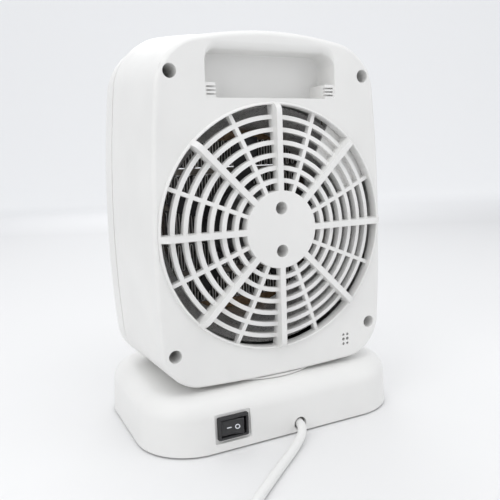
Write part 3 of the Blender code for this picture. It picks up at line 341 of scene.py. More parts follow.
def make_materials():
    made = {
        "white_plastic": moulded_plastic("white_plastic", (0.800, 0.797, 0.785), 0.42),
        "black_plastic": moulded_plastic("black_plastic", (0.022, 0.022, 0.024), 0.36, 0.00003),
        "rubber": moulded_plastic("rubber", (0.05, 0.05, 0.052), 0.85, 0.00004),
        "cord_white": moulded_plastic("cord_white", (0.80, 0.80, 0.79), 0.46, 0.000015),
        "nylon": moulded_plastic("nylon", (0.72, 0.71, 0.66), 0.48),
    }

    made["screw_steel"] = textured(
        "screw_steel", (0.56, 0.56, 0.57), 0.34, 1.0,
        ((400, 3), (0.3, (0.45, 0.44, 0.42)), (0.7, (0.62, 0.62, 0.63))),
        ((900, 3), 0.24, 0.46), ((3000, 2, (1, 1, 0.1)), 0.00001))

    made["motor_steel"] = textured(
        "motor_steel", (0.46, 0.46, 0.47), 0.38, 1.0,
        ((90, 4), (0.3, (0.36, 0.36, 0.37)), (0.7, (0.52, 0.52, 0.53))),
        ((240, 3), 0.28, 0.5), ((700, 2, (1, 8, 1)), 0.00002))

    made["plug_brass"] = textured(
        "plug_brass", (0.76, 0.63, 0.38), 0.28, 1.0,
        ((300, 3), (0.3, (0.68, 0.55, 0.31)), (0.7, (0.80, 0.68, 0.42))),
        ((900, 2, (6, 1, 1)), 0.18, 0.4), ((2400, 2, (8, 1, 1)), 0.000008))

    sheet = Surface("aluminium", (0.88, 0.88, 0.88), 0.32, 0.7)
    sheet.vary_colour(sheet.noise(70, 3), (0.3, (0.82, 0.81, 0.80)), (0.7, (0.94, 0.94, 0.94)))
    sheet.vary_roughness(sheet.noise(500, 3, (1, 9, 1)), 0.22, 0.44)
    sheet.bump(sheet.noise(900, 2, (1, 9, 1)), 0.00001)
    sheet.bump(sheet.noise(70, 2), 0.0010, 0.6)
    made["aluminium"] = sheet.material

    fins = Surface("heater_fins", (0.40, 0.36, 0.32), 0.42, 0.3)
    apart = fins.node("ShaderNodeSeparateXYZ")
    fins.link(fins.coordinates, apart.inputs["Vector"])
    # The fin colour runs from near black a few millimetres deep to near white at the rear edge: painted
    # shade deep between the folds and a painted highlight along each fold's rear edge.
    edge = fins.spread(apart.outputs["Y"], 0.0, 1.0, HEATER_REAR_Y - 0.0030, HEATER_REAR_Y)
    fins.vary_colour(edge, (0.0, (0.030, 0.022, 0.017)), (0.45, (0.075, 0.058, 0.046)),
                     (0.75, (0.55, 0.51, 0.46)), (1.0, (0.92, 0.90, 0.87)))
    fins.vary_roughness(fins.noise(420, 3), 0.32, 0.55)
    fins.bump(fins.noise(1500, 2), 0.00003)
    made["heater_fins"] = fins.material

    made["ceramic"] = textured(
        "ceramic", (0.26, 0.23, 0.20), 0.70, 0.0,
        ((300, 4), (0.3, (0.20, 0.175, 0.15)), (0.7, (0.30, 0.27, 0.235))),
        ((900, 3), 0.6, 0.85), ((2200, 3), 0.00004))

    made["phenolic"] = textured(
        "phenolic", (0.045, 0.030, 0.022), 0.5, 0.0,
        ((240, 4), (0.35, (0.030, 0.019, 0.013)), (0.65, (0.075, 0.050, 0.036))),
        ((500, 3), 0.4, 0.65), ((1800, 3), 0.00003))

    made["mica"] = textured(
        "mica", (0.42, 0.24, 0.07), 0.40, 0.0,
        ((260, 6, (1, 1, 1), 0.7), (0.30, (0.10, 0.055, 0.025)),
         (0.55, (0.24, 0.15, 0.075)), (0.75, (0.36, 0.25, 0.13))),
        ((320, 4), 0.25, 0.6), ((420, 4), 0.00006))

    made["circuit_board"] = textured(
        "circuit_board", (0.05, 0.20, 0.09), 0.42, 0.0,
        ((600, 2, (1, 1, 4)), (0.46, (0.035, 0.16, 0.07)), (0.54, (0.07, 0.25, 0.12))),
        ((500, 3), 0.34, 0.52), ((900, 2), 0.00003))

    lens = moulded_plastic("lens", (0.85, 0.36, 0.16), 0.16)
    lens.node_tree.nodes["Principled BSDF"].inputs["Transmission Weight"].default_value = 0.5
    made["lens"] = lens

    # Dark brown for the seam lip: painted shadow in the gap between the two covers.
    seam = moulded_plastic("seam_shadow", (0.20, 0.14, 0.09), 0.6)
    made["seam"] = seam
    mark = moulded_plastic("switch_mark", (0.74, 0.76, 0.80), 0.5)
    made["mark"] = mark
    return made


# ---------------------------------------------------------------- mesh tools

def as_object(mesh_data, name, shade=None, sharp=38):
    bmesh.ops.recalc_face_normals(mesh_data, faces=mesh_data.faces)
    mesh = bpy.data.meshes.new(name)
    mesh_data.to_mesh(mesh)
    mesh_data.free()
    mesh.shade_smooth()
    mesh.set_sharp_from_angle(angle=math.radians(sharp))
    piece = bpy.data.objects.new(name, mesh)
    bpy.context.scene.collection.objects.link(piece)
    if shade:
        mesh.materials.append(shade)
    return piece


def settle(piece):
    """Replace the piece's mesh by what its modifiers make of it."""
    depsgraph = bpy.context.evaluated_depsgraph_get()
    mesh = bpy.data.meshes.new_from_object(piece.evaluated_get(depsgraph))
    piece.modifiers.clear()
    piece.data = mesh
    return piece


def boolean(piece, mesh_data, operation):
    """Cut mesh_data out of the piece, or join it on, at once."""
    tool = as_object(mesh_data, "tool")
    modifier = piece.modifiers.new("cut", "BOOLEAN")
    modifier.operation = operation
    modifier.object = tool
    settle(piece)
    bpy.data.objects.remove(tool, do_unlink=True)


def finish_piece(piece, name, body, slot, shades, nodes=(), sharp=38, weighted=True, look=None):
    """Shade and name one finished piece, in its slot's look or one of its own, attach it to its body and
    hide the CAD nodes it replaces.
    """
    piece.name = name
    mesh = piece.data
    mesh.materials.clear()
    mesh.materials.append(shades[look or slot])
    mesh.shade_smooth()
    mesh.set_sharp_from_angle(angle=math.radians(sharp))
    if weighted:
        smooth = piece.modifiers.new("normals", "WEIGHTED_NORMAL")
        smooth.keep_sharp = True
    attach(piece, body)
    if nodes:
        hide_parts(*nodes)
    return piece


def bevel(piece, width, segments=2, angle=40):
    rounding = piece.modifiers.new("bevel", "BEVEL")
    rounding.width = width
    rounding.segments = segments
    rounding.limit_method = "ANGLE"
    rounding.angle_limit = math.radians(angle)
    return settle(piece)


def add_box(mesh_data, low, high):
    corners = bmesh.ops.create_cube(mesh_data, size=1.0)["verts"]
    low, high = Vector(low), Vector(high)
    bmesh.ops.scale(mesh_data, vec=high - low, verts=corners)
    bmesh.ops.translate(mesh_data, vec=(low + high) / 2, verts=corners)
    return mesh_data


def add_loft(mesh_data, rings, cap_first=True, cap_last=True):
    rows = [[mesh_data.verts.new(point) for point in ring] for ring in rings]
    count = len(rows[0])
    for lower, upper in zip(rows, rows[1:]):
        for k in range(count):
            mesh_data.faces.new((lower[k], lower[(k + 1) % count],
                                 upper[(k + 1) % count], upper[k]))
    if cap_first:
        mesh_data.faces.new(rows[0])
    if cap_last:
        mesh_data.faces.new(rows[-1])
    return mesh_data


def closed_loft(rings):
    """A loft whose last ring joins its first, so that it closes round a wall."""
    skin = add_loft(bmesh.new(), rings + rings[:1], False, False)
    bmesh.ops.remove_doubles(skin, verts=skin.verts, dist=1e-7)
    return skin


def add_stepped(mesh_data, start, direction, profile, sides=32):
    """A closed round solid of (radius, distance along) points about a line."""
    start, direction = Vector(start), Vector(direction)
    across = direction.orthogonal().normalized()
    other = direction.cross(across)
    rings = []
    for radius, along in profile:
        centre = start + direction * along
        rings.append([centre + across * (radius * math.cos(math.tau * k / sides))
                      + other * (radius * math.sin(math.tau * k / sides)) for k in range(sides)])
    return add_loft(mesh_data, rings)


def add_lattice(mesh_data, counts, is_solid, point):
    """Skin the chosen cells of an i, j, k grid. The j direction closes on itself if wrapped."""
    ni, nj, nk, wrapped = counts
    made = {}

    def vert(i, j, k):
        key = (i, j % nj if wrapped else j, k)
        if key not in made:
            made[key] = mesh_data.verts.new(point(*key))
        return made[key]

    def solid(i, j, k):
        inside = 0 <= i < ni and 0 <= k < nk and (wrapped or 0 <= j < nj)
        return inside and is_solid(i, j % nj if wrapped else j, k)

    sides = [((1, 0, 0), ((1, 0, 0), (1, 1, 0), (1, 1, 1), (1, 0, 1))),
             ((-1, 0, 0), ((0, 0, 0), (0, 0, 1), (0, 1, 1), (0, 1, 0))),
             ((0, 1, 0), ((0, 1, 0), (0, 1, 1), (1, 1, 1), (1, 1, 0))),
             ((0, -1, 0), ((0, 0, 0), (1, 0, 0), (1, 0, 1), (0, 0, 1))),
             ((0, 0, 1), ((0, 0, 1), (1, 0, 1), (1, 1, 1), (0, 1, 1))),
             ((0, 0, -1), ((0, 0, 0), (0, 1, 0), (1, 1, 0), (1, 0, 0)))]
    for i in range(ni):
        for j in range(nj):
            for k in range(nk):
                if not solid(i, j, k):
                    continue
                for (di, dj, dk), corners in sides:
                    if not solid(i + di, j + dj, k + dk):
                        mesh_data.faces.new([vert(i + a, j + b, k + c) for a, b, c in corners])
    return mesh_data


def blend(start, end, share):
    return start + (end - start) * share


def rounded_rectangle(half_x, half_y, radius, steps=6):
    points = []
    for corner, (sign_x, sign_y) in enumerate([(1, 1), (-1, 1), (-1, -1), (1, -1)]):
        for step in range(steps + 1):
            angle = math.radians(90 * corner + 90 * step / steps)
            points.append((sign_x * (half_x - radius) + radius * math.cos(angle),
                           sign_y * (half_y - radius) + radius * math.sin(angle)))
    return points


def catmull_rom(route, steps=12):
    points = [Vector(point) for point in route]
    points = [2 * points[0] - points[1], *points, 2 * points[-1] - points[-2]]
    fine = []
    for before, start, end, after in zip(points, points[1:], points[2:], points[3:]):
        for step in range(steps):
            t = step / steps
            fine.append(0.5 * (2 * start + (end - before) * t
                               + (2 * before - 5 * start + 4 * end - after) * t ** 2
                               + (3 * start - before - 3 * end + after) * t ** 3))
    return [*fine, points[-2]]


# ---------------------------------------------------------------- outlines of the head

def rounded_distance(across, along, radius):
    outside = math.hypot(max(across + radius, 0.0), max(along + radius, 0.0))
    return min(max(across, along) + radius, 0.0) + outside - radius


def head_distance(x, z, y):
    """Distance from the head's outline at depth y: negative inside."""
    back = max(0.0, (y - SEAM_Y) / (REAR_Y - SEAM_Y))
    front = max(0.0, (SEAM_Y - y) / (SEAM_Y - FRONT_Y))
    top = HEAD_TOP - 0.0108 * back - 0.0040 * front
    height = (z - HEAD_BOTTOM) / (top - HEAD_BOTTOM)
    half_width = blend(0.0836, 0.0770, height) - 0.0042 * back + 0.0019 * front
    half_width += (0.0077 - 0.0019 * back) * (1 - (2 * height - 1) ** 2)
    crown = (x / half_width) ** 2
    if z > HEAD_MIDDLE:
        return rounded_distance(abs(x) - half_width, z - top + 0.0109 * crown,
                                TOP_CORNER - 0.0040 * back)
    return rounded_distance(abs(x) - half_width,
                            HEAD_BOTTOM + (0.0004 + 0.0026 * back) * crown - z,
                            BOTTOM_CORNER - 0.0016 * back)


def outlet_distance(x, z):
    return rounded_distance(abs(x) - OUTLET_HALF_WIDTH, abs(z - OUTLET_Z) - OUTLET_HALF_HEIGHT,
                            0.016)


def reach(angle, centre_z, distance, inset=0.0):
    """How far a ray from (0, centre_z) goes before it is inset inside an outline."""
    near, far = 0.0, 0.3
    for _ in range(30):
        middle = (near + far) / 2
        x, z = middle * math.cos(angle), centre_z + middle * math.sin(angle)
        if distance(x, z) < -inset:
            near = middle
        else:
            far = middle
    return near


def ring_of(radii, centre_z, depths):
    count = len(radii)
    return [(radius * math.cos(math.tau * k / count), depth,
             centre_z + radius * math.sin(math.tau * k / count))
            for k, (radius, depth) in enumerate(zip(radii, depths))]


# ---------------------------------------------------------------- rear cover

RAYS = 240
FLARE_START = 0.0070
FLARE_LENGTH = 0.0070
FLARE_DEPTH = 0.0007


def rear_edge(angle, wall):
    """Fillet radius of the rear edge along one ray, on the surface a wall inside the outer one."""
    tilt = math.sin(angle)
    extra = TOP_EDGE_EXTRA if tilt > 0 else LOW_EDGE_EXTRA
    return max(REAR_EDGE + extra * tilt ** 2 - wall, 0.0005)


def flare(y):
    """The side wall steps in a little, a few millimetres behind the seam."""
    share = max(0.0, min(1.0, (y - SEAM_Y - FLARE_START) / FLARE_LENGTH))
    return FLARE_DEPTH * (share * share * (3 - 2 * share) - (y - SEAM_Y) / (REAR_Y - SEAM_Y))


def rear_rings(wall, lip_radius, steps):
    """Rings from the seam to the lip on the surface that lies a wall inside the outer one."""
    angles = [math.tau * k / RAYS for k in range(RAYS)]
    edges = [rear_edge(angle, wall) for angle in angles]
    starts = [REAR_Y - wall - edge for edge in edges]

    def outline(depths, insets):
        return [reach(angle, FAN_Z, lambda x, z: head_distance(x, z, depth), inset)
                for angle, depth, inset in zip(angles, depths, insets)]

    rings = []
    if not wall:
        rings.append(ring_of(outline([SEAM_Y] * RAYS, [0.0006] * RAYS), FAN_Z, [SEAM_Y] * RAYS))
    for share in (0.006, 0.016, 0.06, 0.10, 0.13, 0.16, 0.19, 0.22, 0.3, 0.5, 0.75, 1.0):
        depths = [blend(SEAM_Y, start, share) for start in starts]
        insets = [wall + max(0.0, flare(depth)) + (0.0002 if share == 0.006 else 0.0)
                  for depth in depths]
        rings.append(ring_of(outline(depths, insets), FAN_Z, depths))
    for step in range(1, steps + 1):
        turn = 1 - math.cos(math.radians(89 * step / steps))
        insets = [wall + edge * turn for edge in edges]
        radii = [max(radius, lip_radius + 0.00006 * (steps + 1 - step))
                 for radius in outline(starts, insets)]
        depths = []
        for radius, angle, edge, start in zip(radii, angles, edges, starts):
            x, z = radius * math.cos(angle), FAN_Z + radius * math.sin(angle)
            into = min(edge, max(0.0, -head_distance(x, z, start) - wall))
            depths.append(start + math.sqrt(edge ** 2 - (edge - into) ** 2))
        rings.append(ring_of(radii, FAN_Z, depths))
    return rings


def rear_skin():
    rings = rear_rings(0.0, LIP_RADIUS + 0.0018, 8)
    top, lip = REAR_Y + LIP_RISE, LIP_RADIUS
    for radius, y in ((lip + 0.0018, REAR_Y - 0.0003), (lip + 0.0014, top - 0.0004),
                      (lip + 0.0010, top - 0.0001), (lip + 0.0006, top),
                      (lip + 0.0002, top - 0.0002), (lip, top - 0.0006), (lip, LIP_DEEP_Y),
                      (lip + LIP_WALL, LIP_DEEP_Y), (lip + LIP_WALL, REAR_Y - 0.0030)):
        rings.append(ring_of([radius] * RAYS, FAN_Z, [y] * RAYS))
    rings += reversed(rear_rings(HEAD_WALL, LIP_RADIUS + LIP_WALL, 4))
    return closed_loft(rings)


def grille_lattice():
    """Six rings on a shallow dome, eight tall fins, eight thin spokes and a blanked sector."""
    arcs = 6                                     # steps between two spokes
    radii = [HUB_RADIUS - 0.0040]
    for ring in range(RING_COUNT):
        middle = RING_FIRST + RING_PITCH * ring
        radii += [middle - RING_WIDTH / 2, middle + RING_WIDTH / 2]
    tip = len(radii)
    radii += [LIP_RADIUS - 0.0030, LIP_RADIUS - 0.0006, LIP_RADIUS + 0.0012]
    lines, kinds = [], []
    for spoke in range(16):
        width = SPOKE_WIDTH if spoke % 2 else FIN_WIDTH
        lines += [(SECTOR * spoke, -width / 2), (SECTOR * spoke, width / 2)]
        lines += [(SECTOR * (spoke + step / arcs), 0.0) for step in range(1, arcs)]
        kinds += ["spoke" if spoke % 2 else "fin"] + ["open"] * arcs
    per_spoke = arcs + 1
    blank_first, blank_last = per_spoke * 5 + 4, per_spoke * 7

    def is_solid(i, j, k):
        if k == 0:
            return blank_first <= j <= blank_last and i >= 7
        if k == 2:
            return kinds[j] == "fin"
        return i % 2 == 1 and i < 2 * RING_COUNT or kinds[j] != "open"

    def point(i, j, k):
        radius = radii[i]
        degrees, sideways = lines[j]
        angle = math.radians(degrees) + math.asin(sideways / radius)
        dome = REAR_Y + DOME_RISE - DOME_CURVE * radius ** 2
        drop = {tip: 0.0003, tip + 1: 0.0017, tip + 2: 0.0048}.get(i, 0.0)
        depth = (dome - RING_DEPTH - 0.0016, dome - RING_DEPTH, dome,
                 REAR_Y + HUB_RISE - drop)[k]
        return radius * math.cos(angle), depth, FAN_Z + radius * math.sin(angle)

    return add_lattice(bmesh.new(), (len(radii) - 1, len(lines), 3, True), is_solid, point)


def pocket_cutter():
    """The finger pocket: large upper corners, tight lower ones and a soft upper edge."""
    outline = []
    corners = ((1, 1, POCKET_TOP_CORNER, 14), (-1, 1, POCKET_TOP_CORNER, 14),
               (-1, -1, POCKET_LOW_CORNER, 5), (1, -1, POCKET_LOW_CORNER, 5))
    for number, (side, up, radius, steps) in enumerate(corners):
        for step in range(steps + 1):
            angle = math.radians(90 * number + 90 * step / steps)
            centre = (side * (POCKET_HALF_WIDTH - radius),
                      (POCKET_HIGH if up > 0 else POCKET_LOW) - up * radius)
            outline.append((*centre, radius, math.cos(angle), math.sin(angle)))

    def ring(offset, soften, y_of):
        points = []
        for x, z, radius, across, along in outline:
            edge = blend(0.0005, 0.0048, max(0.0, along) ** 2)
            out = radius + offset + soften * edge
            points.append((x + out * across, y_of(edge), z + out * along))
        return points

    back = REAR_Y - POCKET_DEPTH
    rings = [ring(-0.0012, 0, lambda edge: back), ring(-0.0004, 0, lambda edge: back + 0.0003),
             ring(-0.0001, 0, lambda edge: back + 0.0008), ring(0.0, 0, lambda edge: back + 0.0014)]
    for step in range(9):
        turn = math.radians(90 * step / 8)
        rings.append(ring(0.0, 1 - math.cos(turn),
                          lambda edge: REAR_Y - edge * (1 - math.sin(turn))))
    rings.append([(x, REAR_Y + 0.02, z) for x, y, z in rings[-1]])
    return add_loft(bmesh.new(), rings)


def pocket_block(side):
    """One slotted block for a lower corner of the pocket."""
    inner, outer = POCKET_HALF_WIDTH - BLOCK_WIDTH, POCKET_HALF_WIDTH + 0.0012
    front = REAR_Y - BLOCK_SETBACK
    block = bevel(as_object(add_box(bmesh.new(), (inner, REAR_Y - POCKET_DEPTH - 0.0012,
                                                  POCKET_LOW - 0.0012),
                                    (outer, front, POCKET_LOW + BLOCK_HEIGHT)), "block"), 0.0004)
    slots = bmesh.new()
    for row in range(3):
        low = POCKET_LOW + 0.0016 + SLOT_PITCH * row
        add_box(slots, (inner - 0.0010, front - 0.0024, low),
                (POCKET_HALF_WIDTH - 0.0008, front + 0.0010, low + 0.0011))
    boolean(block, slots, "DIFFERENCE")
    data = bmesh.new()
    data.from_mesh(block.data)
    bpy.data.objects.remove(block, do_unlink=True)
    if side < 0:
        bmesh.ops.scale(data, vec=(-1, 1, 1), verts=data.verts)
    return data


def make_rear_cover(shades):
    cover = as_object(rear_skin(), "rear_cover_body")
    grille = bevel(as_object(grille_lattice(), "grille"), 0.00055, 2)
    data = bmesh.new()
    data.from_mesh(grille.data)
    bpy.data.objects.remove(grille, do_unlink=True)
    boolean(cover, data, "UNION")
    top = HUB_RISE + REAR_Y
    hub = add_stepped(bmesh.new(), (0, 0, FAN_Z), (0, 1, 0),
                      [(HUB_RADIUS, REAR_Y - 0.0005), (HUB_RADIUS, top - 0.0007),
                       (HUB_RADIUS - 0.0002, top - 0.0002), (HUB_RADIUS - 0.0007, top)], 144)
    boolean(cover, hub, "UNION")
    posts = bmesh.new()
    for x, z in CORNER_SCREWS:
        add_stepped(posts, (x, 0, z), (0, 1, 0), [(0.0064, 0.0), (0.0064, REAR_Y - 0.0012)])
    for side in (-1, 1):
        add_stepped(posts, (0, 0, FAN_Z + side * HUB_HOLE_OFFSET), (0, 1, 0),
                    [(0.0056, 0.0420), (0.0056, REAR_Y + 0.0030)])
    add_box(posts, (-POCKET_HALF_WIDTH - 0.0022, REAR_Y - POCKET_DEPTH - 0.0022,
                    POCKET_LOW - 0.0022),
            (POCKET_HALF_WIDTH + 0.0022, REAR_Y - 0.0011, POCKET_HIGH + 0.0022))
    boolean(cover, posts, "UNION")
    cuts = bmesh.new()
    for x, z in CORNER_SCREWS:
        add_stepped(cuts, (x, 0, z), (0, 1, 0),
                    [(0.0018, -0.0100), (0.0018, 0.0020), (0.0041, 0.0020),
                     (0.0041, REAR_Y - 0.0005), (0.00422, REAR_Y - 0.00015),
                     (0.0046, REAR_Y), (0.0046, REAR_Y + 0.03)])
    for side in (-1, 1):
        add_stepped(cuts, (0, 0, FAN_Z + side * HUB_HOLE_OFFSET), (0, 1, 0),
                    [(0.0018, 0.0300), (0.0018, 0.0440), (0.0039, 0.0440),
                     (0.0040, top - 0.0004), (0.0042, top - 0.0001), (0.0044, top),
                     (0.0044, top + 0.02)])
    add_stepped(cuts, (0, 0, 0.03), (0, 0, 1), [(0.0090, 0.0), (0.0090, 0.02)])
    for x in (-0.0546, -0.0513):
        for row, z in enumerate((0.0492, 0.0526, 0.0558)):
            radius = 0.00115 if row == 1 else 0.00100
            add_stepped(cuts, (x, 0.04, z), (0, 1, 0),
                        [(radius, 0.0), (radius, 0.0104), (radius + 0.0002, 0.0106),
                         (radius + 0.0002, 0.03)], 16)
    boolean(cover, cuts, "DIFFERENCE")
    boolean(cover, pocket_cutter(), "DIFFERENCE")
    for side in (-1, 1):
        boolean(cover, pocket_block(side), "UNION")
    return finish_piece(cover, "rear_cover_shell", "head", "white_plastic",
                        shades, ["rear_cover"])


# ---------------------------------------------------------------- front cover and outlet

def make_front_cover(shades):
    centre_z = 0.142
    count = 240
    angles = [math.tau * k / count for k in range(count)]

    def outline(y, inset):
        return [reach(angle, centre_z, lambda x, z: head_distance(x, z, y), inset)
                for angle in angles]

    edge_y = FRONT_Y + FRONT_EDGE
    seam = SEAM_Y - SEAM_GAP

    def surface(wall, steps):
        rings = []
        for number, y in enumerate((seam, seam - 0.0007, blend(seam, edge_y, 0.5), edge_y)):
            inset = wall + (0.0004 if number == 0 and not wall else 0.0)
            rings.append(ring_of(outline(y, inset), centre_z, [y] * count))
        edge = FRONT_EDGE - wall
        for step in range(1, steps + 1):
            turn = math.radians(90 * step / steps)
            rings.append(ring_of(outline(edge_y, wall + edge * (1 - math.cos(turn))), centre_z,
                                 [edge_y - edge * math.sin(turn)] * count))
        return rings

    rings = surface(0.0, 12)
    for inset, y in ((-0.0030, FRONT_Y), (-0.0014, FRONT_Y + 0.0001),
                     (-0.0004, FRONT_Y + 0.0006), (0.0, FRONT_Y + 0.0014),
                     (0.0, FRONT_Y + HEAD_WALL)):
        radii = [reach(angle, centre_z, outlet_distance, inset) for angle in angles]
        rings.append(ring_of(radii, centre_z, [y] * count))
    rings += reversed(surface(HEAD_WALL, 6))
    skin = closed_loft(rings)
    cover = as_object(skin, "front_cover_body")
    posts = bmesh.new()
    for x, z in CORNER_SCREWS:
        add_stepped(posts, (x, 0, z), (0, 1, 0), [(0.0050, FRONT_Y + 0.0014), (0.0050, -0.0003)])
    boolean(cover, posts, "UNION")
    cuts = bmesh.new()
    for x, z in CORNER_SCREWS:
        add_stepped(cuts, (x, 0, z), (0, 1, 0), [(0.0018, -0.0150), (0.0018, 0.0100)], 16)
    for x, radius in ((-BUTTON_X, BUTTON_RADIUS + 0.0004), (BUTTON_X, BUTTON_RADIUS + 0.0004),
                      (0.0, 0.0023)):
        add_stepped(cuts, (x, FRONT_Y, BUTTON_Z), (0, 1, 0),
                    [(radius + 0.0005, -0.01), (radius + 0.0005, 0.0), (radius + 0.0001, 0.0002),
                     (radius, 0.0006), (radius, 0.01)], 48)
    boolean(cover, cuts, "DIFFERENCE")
    return finish_piece(cover, "front_cover_shell", "head", "white_plastic",
                        shades, ["front_cover"])


def make_seam_lip(shades):
    """The tongue between the two covers, dark brown as painted shadow, so that it shows as a fine line
    in the seam's gap.
    """
    count = 200
    rings = []
    for inset, y in ((0.0015, SEAM_Y - SEAM_GAP - 0.0006), (0.0015, SEAM_Y + 0.0008),
                     (0.0021, SEAM_Y + 0.0008), (0.0021, SEAM_Y - SEAM_GAP - 0.0006)):
        radii = [reach(math.tau * k / count, FAN_Z, lambda x, z: head_distance(x, z, SEAM_Y),
                       inset) for k in range(count)]
        rings.append(ring_of(radii, FAN_Z, [y] * count))
    skin = closed_loft(rings)
    finish_piece(as_object(skin, "seam_lip"), "seam_lip", "head", "white_plastic",
                 shades, look="seam")


def make_front_grille(shades):
    """Horizontal bars with a rounded nose, in a flat frame with two uprights."""
    half_wide = OUTLET_HALF_WIDTH + 0.0030
    half_high = OUTLET_HALF_HEIGHT + 0.0030
    bars, bar_width = 15, 0.0028
    across = [-half_wide, -half_wide + 0.005, -0.0212, -0.0188, 0.0188, 0.0212,
              half_wide - 0.005, half_wide]
    pitch = (2 * half_high - 0.010) / (bars + 1)
    upward = [-half_high, -half_high + 0.005]
    for bar in range(1, bars + 1):
        middle = -half_high + 0.005 + pitch * bar
        upward += [middle - bar_width / 2, middle + bar_width / 2]
    upward += [half_high - 0.005, half_high]
    lattice = add_lattice(bmesh.new(), (len(across) - 1, len(upward) - 1, 1, False),
                          lambda i, j, k: j % 2 == 0 or i % 2 == 0,
                          lambda i, j, k: (across[i], (-0.0416, -0.0452)[k],
                                           OUTLET_Z + upward[j]))
    grille = bevel(as_object(lattice, "front_grille_bars"), 0.0008, 3)
    finish_piece(grille, "front_grille_bars", "head", "white_plastic", shades,
                 ["front_grille"])


def make_buttons(shades):
    for name, side in (("power_button", -1), ("swing_button", 1)):
        x, rim = side * BUTTON_X, BUTTON_RADIUS
        data = add_stepped(bmesh.new(), (x, 0, BUTTON_Z), (0, -1, 0),
                           [(rim, 0.0440), (rim, 0.0484), (rim - 0.0002, 0.0489),
                            (rim - 0.0007, 0.0493), (rim - 0.0014, 0.0494),
                            (rim - 0.0030, 0.0491), (0.0012, 0.0489)], 64)
        finish_piece(as_object(data, name), name + "_cap", name, "white_plastic",
                     shades, [name])
    data = add_stepped(bmesh.new(), (0, 0, BUTTON_Z), (0, -1, 0),
                       [(0.0020, 0.0440), (0.0020, 0.0478), (0.0017, 0.0482), (0.0008, 0.0484)],
                       32)
    finish_piece(as_object(data, "led"), "led_dome", "head", "lens", shades,
                 ["led_lens"])


# ---------------------------------------------------------------- air path seen through the grille

def make_air_duct(shades):
    steps = 15
    count = 4 * (steps + 1)
    square = rounded_rectangle(0.0604, 0.0654, 0.0030, steps)
    angles = [math.tau * (k + 0.5) / count for k in range(count)]
    rings = [[(x, y, FAN_Z + z) for x, z in square] for y in (-0.0372, -0.0250, -0.0130)]
    for y, radius in ((-0.0080, DUCT_RADIUS), (0.0040, DUCT_RADIUS), (0.0150, DUCT_RADIUS),
                      (0.0175, DUCT_RADIUS + 0.0006), (0.0280, DUCT_RADIUS + 0.0050),
                      (0.0410, LIP_RADIUS - 0.0010)):
        rings.append([(radius * math.cos(angle), y, FAN_Z + radius * math.sin(angle))
                      for angle in angles])
    duct = as_object(add_loft(bmesh.new(), rings, False, False), "duct")
    thicken = duct.modifiers.new("wall", "SOLIDIFY")
    thicken.thickness = 0.0008
    thicken.offset = 1.0
    settle(duct)
    finish_piece(duct, "air_duct_sheet", "head", "aluminium", shades,
                 ["air_duct"])


def make_heater_rows(shades):
    """Each row is one thin strip folded back and forth, as wide as the heater is deep."""
    folds = FIN_FOLDS
    for row in range(1, 6):
        low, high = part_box(f"heater_fins_{row}")
        pitch = (high.x - low.x) / folds
        data = bmesh.new()
        lines = []
        for y in (HEATER_FRONT_Y, HEATER_REAR_Y):
            line = []
            for fold in range(folds):
                x = low.x + pitch * (fold + 0.5)
                z_first, z_last = (low.z, high.z) if fold % 2 else (high.z, low.z)
                rise = 0.0008 if fold % 2 else -0.0008
                line += [(x - pitch * 0.28, y, z_first + rise * 0.6),
                         (x - pitch * 0.12, y, z_first + rise * 2),
                         (x + pitch * 0.12, y, z_last - rise * 2),
                         (x + pitch * 0.28, y, z_last - rise * 0.6)]
            lines.append([data.verts.new(point) for point in line])
        for k in range(len(lines[0]) - 1):
            data.faces.new((lines[0][k], lines[0][k + 1], lines[1][k + 1], lines[1][k]))
        piece = as_object(data, "fins")
        thicken = piece.modifiers.new("sheet", "SOLIDIFY")
        thicken.thickness = 0.00040
        thicken.offset = 0.0
        settle(piece)
        finish_piece(piece, f"heater_row_{row}", "head", "heater_fins", shades,
                     [f"heater_fins_{row}"], weighted=False)


def make_impeller(shades):
    data = add_stepped(bmesh.new(), (0, 0, FAN_Z), (0, 1, 0),
                       [(FAN_HUB_RADIUS, -0.0075), (FAN_HUB_RADIUS, 0.0108),
                        (FAN_HUB_RADIUS - 0.0006, 0.0120), (FAN_HUB_RADIUS - 0.0018, 0.0125),
                        (0.0140, 0.0125), (0.0130, 0.0119)], 96)
    impeller = as_object(data, "hub")
    room = add_stepped(bmesh.new(), (0, 0, FAN_Z), (0, 1, 0),
                       [(FAN_HUB_RADIUS - 0.0024, -0.05), (FAN_HUB_RADIUS - 0.0024, 0.0092),
                        (FAN_HUB_RADIUS - 0.0036, 0.0100)], 96)
    boolean(impeller, room, "DIFFERENCE")
    boss = add_stepped(bmesh.new(), (0, 0, FAN_Z), (0, 1, 0), [(0.0050, -0.0070), (0.0050, 0.0110)])
    boolean(impeller, boss, "UNION")
    blades = bmesh.new()
    for blade in range(BLADE_COUNT):
        add_blade(blades, math.tau * blade / BLADE_COUNT + math.radians(20))
    boolean(impeller, blades, "UNION")
    bore = add_stepped(bmesh.new(), (0, 0, FAN_Z), (0, 1, 0), [(0.0019, -0.0062), (0.0019, 0.05)])
    boolean(impeller, bore, "DIFFERENCE")
    finish_piece(impeller, "impeller_blades", "fan", "black_plastic", shades,
                 ["impeller"])


def add_blade(mesh_data, turn):
    """A twisted fan blade with a rounded outline, from a run of slanted sections."""
    rings = []
    count = 14
    for number in range(count + 1):
        share = number / count
        radius = blend(FAN_HUB_RADIUS - 0.0012, FAN_RADIUS - 0.0004, share)
        pitch = math.radians(blend(46, 24, share))
        half_chord = blend(0.0065, 0.0100, share) * math.sqrt(max(0.05, 1 - share ** 7))
        thick_half = blend(0.0009, 0.0005, share)
        ring = []
        for along in range(-4, 5):
            ring.append(blade_point(turn, radius, pitch, half_chord * along / 4, thick_half))
        for along in range(4, -5, -1):
            ring.append(blade_point(turn, radius, pitch, half_chord * along / 4, -thick_half))
        rings.append(ring)
    add_loft(mesh_data, rings)


